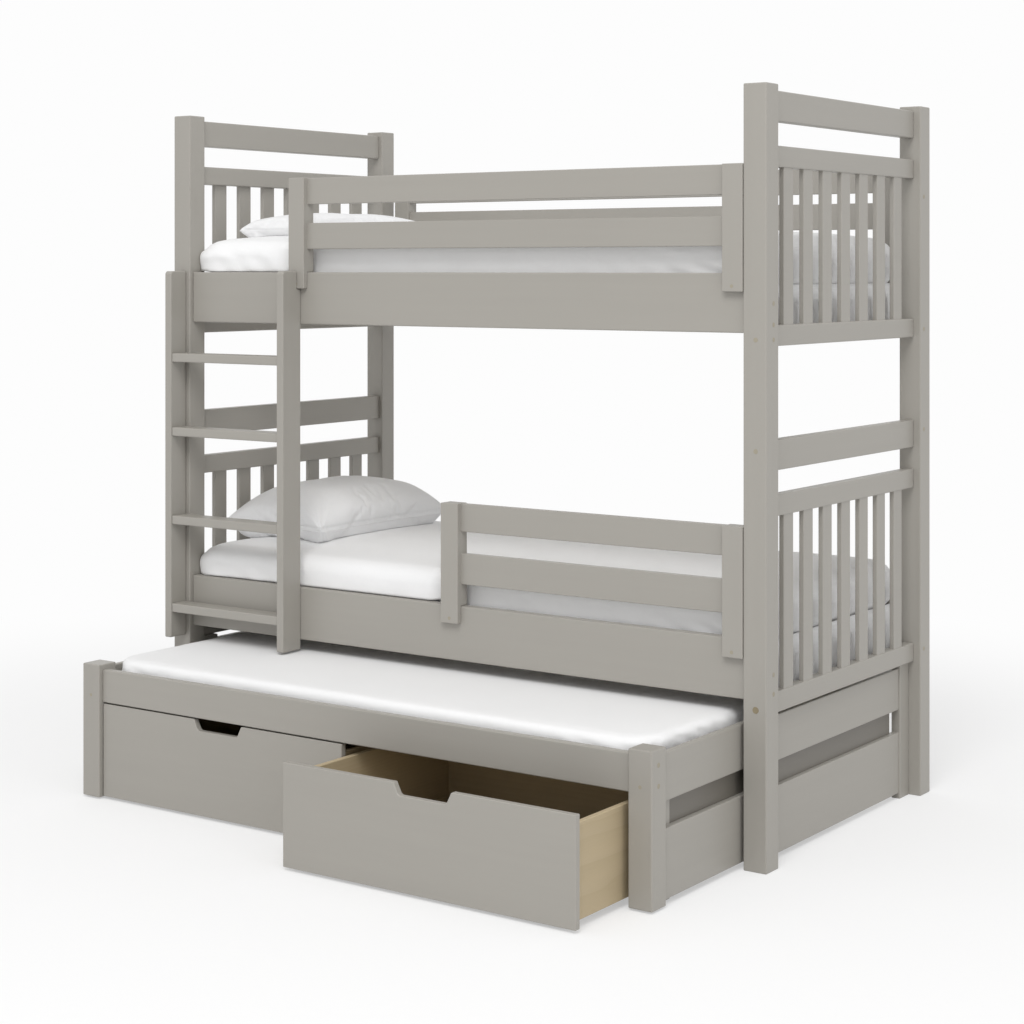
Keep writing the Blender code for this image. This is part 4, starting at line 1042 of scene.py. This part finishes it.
def pillow_mesh(low, high):
    """A stuffed pillow between four pointed corners, flat underneath."""
    width, length, height = (high[i] - low[i] for i in range(3))
    middle = Vector(((low[0] + high[0]) / 2, (low[1] + high[1]) / 2, low[2]))
    bm = bmesh.new()
    sheets = []
    for above in (True, False):
        sheet = {}
        for i in range(PILLOW_COLUMNS + 1):
            for j in range(PILLOW_ROWS + 1):
                if sheets and (i in (0, PILLOW_COLUMNS) or j in (0, PILLOW_ROWS)):
                    sheet[i, j] = sheets[0][i, j]
                    continue
                u = sin((2 * i / PILLOW_COLUMNS - 1) * pi / 2)
                v = sin((2 * j / PILLOW_ROWS - 1) * pi / 2)
                sheet[i, j] = bm.verts.new(middle + pillow_point(u, v, width, length, height, above))
        for i in range(PILLOW_COLUMNS):
            for j in range(PILLOW_ROWS):
                corners = (sheet[i, j], sheet[i + 1, j], sheet[i + 1, j + 1], sheet[i, j + 1])
                bm.faces.new(corners if above else tuple(reversed(corners)))
        sheets.append(sheet)
    return mesh_from(bm, "pillow_form")


def pillow_folds(low, high, seed):
    """A rule for creases that run in from the pillow's corners, soft dents, and the tuck along its seam."""
    seam = low[2] + SEAM_SHARE * (high[2] - low[2])
    corners = [Vector((x, y, 0)) for x in (low[0], high[0]) for y in (low[1], high[1])]

    def offset(point, normal):
        dent = DENT_DEPTH * ripple(point.x * DENTS[0], point.y * DENTS[1], seed)
        crease = 0.0
        for number, corner in enumerate(corners):
            away = Vector((point.x - corner.x, point.y - corner.y, 0))
            angle = away.normalized().x * CREASE_FAN[0] + away.normalized().y * CREASE_FAN[1]
            wave = ripple(angle, number * CREASE_SEED + seed, away.length * CREASE_ALONG)
            crease += CREASE_HEIGHT * wave * fading(away.length, CREASE_REACH)
        crumple = ripple(point.x * CRUMPLES[0], point.y * CRUMPLES[1], seed + CRUMPLE_SEED)
        tuck = SEAM_TUCK * fading(point.z - seam, SEAM_TUCK_WIDTH) * (1 - abs(normal.z))
        return dent + crease + CRUMPLE_HEIGHT * crumple - tuck

    return offset


def rest_on(obj, support):
    """Lifts the points that would sink into the support's surface to just above it."""
    tree = surface_tree(support)
    for vertex in obj.data.vertices:
        above = Vector((vertex.co.x, vertex.co.y, CAD_BOX[1][2]))
        hit = tree.ray_cast(above, Vector((0, 0, -1)))[0]
        if hit is not None and vertex.co.z < hit.z + RESTING_GAP:
            vertex.co.z = hit.z + RESTING_GAP


def seam_points(obj, height):
    """Points round the pillow's side at a height, found from outside."""
    tree = surface_tree(obj)
    low, high = ([rule(v.co[i] for v in obj.data.vertices) for i in range(3)] for rule in (min, max))
    middle = (Vector(low) + Vector(high)) / 2
    half = (Vector(high) - Vector(low)) / 2
    points = []
    for step in range(SEAM_STEPS):
        angle = 2 * pi * step / SEAM_STEPS
        square = max(abs(cos(angle)), abs(sin(angle)))
        edge = Vector((half.x * cos(angle) / square, half.y * sin(angle) / square, 0))
        target = middle + edge * SEAM_AIM_SHARE
        target.z = low[2] + height
        outside = target + (target - middle) * SEAM_OUTSIDE_SHARE
        outside.z = target.z
        hit, normal = tree.ray_cast(outside, target - outside)[:2]
        if hit is None:
            hit, normal = tree.find_nearest(outside)[:2]
        points.append(hit + normal * SEAM_PROUD)
    return points


def add_seam(obj, height):
    """A sewn cord round the pillow, made part of its mesh."""
    curve = bpy.data.curves.new("pillow_seam", "CURVE")
    curve.dimensions = "3D"
    curve.bevel_depth = SEAM_RADIUS
    curve.bevel_resolution = 1
    spline = curve.splines.new("POLY")
    points = seam_points(obj, height)
    spline.points.add(len(points) - 1)
    for point, place in zip(spline.points, points):
        point.co = (*place, 1)
    spline.use_cyclic_u = True
    cord = add_object("pillow_seam", curve)
    mesh = evaluated_mesh(cord)
    bpy.data.objects.remove(cord, do_unlink=True)
    mesh.shade_smooth()
    bm = bmesh.new()
    bm.from_mesh(obj.data)
    bm.from_mesh(mesh)
    bm.to_mesh(obj.data)
    bm.free()


def make_pillow(level, support):
    """A pillow in its case, in the space of its solid, which it fills less than a mattress does."""
    node, name = f"pillow_{level}", f"cased_pillow_{level}"
    low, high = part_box(node)
    near, far = (Vector(space) for space in PILLOW_SPACES[level])
    obj = add_object(name, pillow_mesh(Vector(low) + near, Vector(high) - far))
    remesh(obj, PILLOW_VOXEL)
    swell(obj, PILLOW_CAP, PILLOW_GROWTH)
    subdivide(obj)
    ruffle(obj, pillow_folds(low, high, SEEDS[level]))
    rest_on(obj, support)
    obj.data.shade_smooth()
    add_seam(obj, SEAM_SHARE * (high[2] - low[2]))
    finish_piece(obj, name, "pillow", BODY_OF[node], "pillow_cover", node)


# Loose ends of the sheets

def loose_end_point(across, down, top, foot, start, side, seed):
    """A point of a loose end: it leaves the mattress, falls, and opens into folds."""
    free = min(down * LOOSE_OPENS, 1)
    x = start + (LOOSE_HANG - start) * free
    fold = ripple(across * LOOSE_FOLDS[0], seed, down * LOOSE_FOLDS[1])
    fine = ripple(across * LOOSE_FINE_FOLDS[0], seed + LOOSE_FINE_SEED, down * LOOSE_FINE_FOLDS[1])
    fold += LOOSE_FINE_SHARE * fine
    x += LOOSE_FOLD_DEPTH * fold * (LOOSE_FOLD_AT_TOP + (1 - LOOSE_FOLD_AT_TOP) * down) * free
    least, most = LOOSE_REACH
    sway = LOOSE_SWAY * down * ripple(across * LOOSE_FOLDS[0], seed + LOOSE_SWAY_SEED, down)
    lift = LOOSE_LIFT * down * max(ripple(across * LOOSE_LIFTS, seed + LOOSE_LIFT_SEED, 0), 0)
    return Vector((side * min(max(x, least), most), across + sway, top + (foot - top) * down + lift))


def loose_end_rows(level, side, side_name, bed, seed):
    """Rows of points from the mattress down, each row running from front to back."""
    low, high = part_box(f"mattress_{level}")
    top = low[2] + LOOSE_UP
    rail_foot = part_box(f"end_panel_{level}_{side_name}")[0][2]
    foot = rail_foot + FOOT_RAIL_HEIGHT - LOOSE_BELOW_RAIL_TOP
    start_y = low[1] + LOOSE_SIDE_GAP
    tree = surface_tree(bed)
    rows = [[] for _ in range(LOOSE_ROWS + 1)]
    for i in range(LOOSE_COLUMNS + 1):
        across = start_y + i / LOOSE_COLUMNS * (high[1] - LOOSE_SIDE_GAP - start_y)
        outside = Vector((side * CAD_BOX[1][0], across, top))
        hit = tree.ray_cast(outside, Vector((-side, 0, 0)))[0]
        if hit is None:
            hit = tree.find_nearest(outside)[0]
        start = side * hit.x + SHEET_THICK
        for j, row in enumerate(rows):
            row.append(loose_end_point(across, j / LOOSE_ROWS, top, foot, start, side, seed))
    return rows


def length_along(points):
    return sum((after - before).length for before, after in zip(points, points[1:]))


def make_loose_end(level, side, side_name, bed, seed):
    """A thin strip of the sheet, gathered at the mattress and hanging free below it."""
    rows = loose_end_rows(level, side, side_name, bed, seed)
    step = LOOSE_COLUMNS + 1
    quads = []
    for j in range(LOOSE_ROWS):
        for i in range(LOOSE_COLUMNS):
            first = j * step + i
            quads.append((first, first + 1, first + 1 + step, first + step))
    name = f"loose_sheet_end_{level}_{side_name}"
    mesh = bpy.data.meshes.new(name)
    mesh.from_pydata([point for row in rows for point in row], [], quads)
    obj = add_object(name, mesh)
    thick = obj.modifiers.new("thickness", "SOLIDIFY")
    thick.thickness = SHEET_THICK
    thick.offset = 0
    apply_modifiers(obj)
    obj.data.shade_smooth()
    bm = bmesh.new()
    bm.from_mesh(obj.data)
    bmesh.ops.recalc_face_normals(bm, faces=bm.faces)
    bm.to_mesh(obj.data)
    bm.free()
    finish_piece(obj, name, "sheet", "root", "mattress_cover")
    width = length_along(rows[LOOSE_ROWS // 2])
    length = length_along([row[len(row) // 2] for row in rows])


def make_bunk_bedding(level):
    node = f"mattress_{level}"
    low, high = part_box(node)
    gap = MATTRESS_START_GAP
    start_low = Vector(low) + Vector((gap, gap, gap))
    start_high = Vector(high) - Vector((gap, gap, MATTRESS_TOP_GAPS[level]))
    room_low = (low[0] - BULGE_THROUGH_SLATS, low[1] - SIDE_CLEARANCE, low[2])
    room_high = (high[0] + BULGE_THROUGH_SLATS, high[1] + SIDE_CLEARANCE, high[2] + MATTRESS_CAP)
    start, room = (start_low, start_high), (room_low, room_high)
    bed = make_mattress(node, MATTRESS_FORM, MATTRESS_VOXEL, start, room, corner_posts("post"))
    make_pillow(level, bed)
    for side, side_name in SIDES:
        make_loose_end(level, side, side_name, bed, SEEDS[level] + side)


def make_trundle_mattress():
    node = "mattress_trundle"
    low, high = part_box(node)
    gap, longer, proud = MATTRESS_START_GAP, TRUNDLE_LONGER, TRUNDLE_PROUD
    start = (Vector(low) + Vector((-longer, gap, 0)), Vector(high) + Vector((longer, -gap, proud)))
    room = ((low[0] - proud, low[1], low[2]), (high[0] + proud, high[1], high[2] + proud))
    make_mattress(node, TRUNDLE_FORM, TRUNDLE_VOXEL, start, room, corner_posts("trundle_post"))


# Studio

def make_camera():
    data = bpy.data.cameras.new("photo_camera")
    data.sensor_width = CAMERA_SENSOR
    data.lens = CAMERA_LENS
    data.shift_y = CAMERA_SHIFT_Y
    camera = add_object("photo_camera", data)
    camera.location = CAMERA_PLACE
    camera.rotation_euler = (pi / 2, 0, radians(CAMERA_TURN))
    bpy.context.scene.camera = camera


def make_lamp(name, lamp):
    place, aim, width, watts = lamp
    data = bpy.data.lights.new(name, "AREA")
    data.shape = "DISK"
    data.size = width
    data.energy = watts
    obj = add_object(name, data)
    obj.location = place
    obj.rotation_euler = (Vector(aim) - Vector(place)).to_track_quat("-Z", "Y").to_euler()


def grey(value):
    return (value, value, value, 1)


def seen_ray(wiring):
    """1 for camera, glossy and transmission rays, and 0 for the rest."""
    path = wiring.add("ShaderNodeLightPath").outputs
    seen = wiring.maths("MAXIMUM", path["Is Camera Ray"], path["Is Glossy Ray"])
    return wiring.maths("MAXIMUM", seen, path["Is Transmission Ray"])


def make_world():
    world = bpy.data.worlds.new("studio")
    bpy.context.scene.world = world
    world.use_nodes = True
    wiring = Wiring(world.node_tree)
    colour = wiring.mix(seen_ray(wiring), grey(AMBIENT), grey(BACKDROP))
    wiring.feed(world.node_tree.nodes["Background"].inputs["Color"], colour)


def make_floor():
    """A pale floor that keeps the bed's shadow near it and fades into the backdrop."""
    mesh = bpy.data.meshes.new("studio_floor")
    half = FLOOR_HALF_SIZE
    corners = [(-half, -half, 0), (half, -half, 0), (half, half, 0), (-half, half, 0)]
    mesh.from_pydata(corners, [], [(0, 1, 2, 3)])
    floor = add_object("studio_floor", mesh)
    material, _, wiring = start_material("studio_floor")
    material.node_tree.nodes.clear()
    place = wiring.add("ShaderNodeTexCoord").outputs["Object"]
    reach = wiring.add("ShaderNodeVectorMath", {"operation": "LENGTH"}, in_0=place).outputs["Value"]
    fade = wiring.add("ShaderNodeMapRange", {"interpolation_type": "SMOOTHSTEP"}, value=reach)
    fade.inputs["From Min"].default_value = FLOOR_FADE_FROM
    fade.inputs["From Max"].default_value = FLOOR_FADE_TO
    bounce = wiring.add("ShaderNodeBsdfDiffuse", color=grey(FLOOR_BOUNCE))
    lit = wiring.add("ShaderNodeBsdfDiffuse", color=grey(FLOOR_LIT))
    glow = wiring.add("ShaderNodeEmission", color=grey(1), strength=FLOOR_GLOW)
    near = wiring.add("ShaderNodeAddShader", in_0=lit, in_1=glow)
    far = wiring.add("ShaderNodeEmission", color=grey(1), strength=BACKDROP)
    shown = wiring.add("ShaderNodeMixShader", in_0=fade.outputs["Result"], in_1=near, in_2=far)
    whole = wiring.add("ShaderNodeMixShader", in_0=seen_ray(wiring), in_1=bounce, in_2=shown)
    wiring.add("ShaderNodeOutputMaterial", surface=whole)
    mesh.materials.append(material)


def make_studio():
    make_camera()
    make_lamp("key_lamp", KEY_LAMP)
    make_lamp("fill_lamp", FILL_LAMP)
    make_world()
    make_floor()
    bpy.context.scene.view_settings.view_transform = "Standard"


make_studio()
dress_nodes()
make_fittings()
for level in LEVELS:
    make_bunk_bedding(level)
make_trundle_mattress()
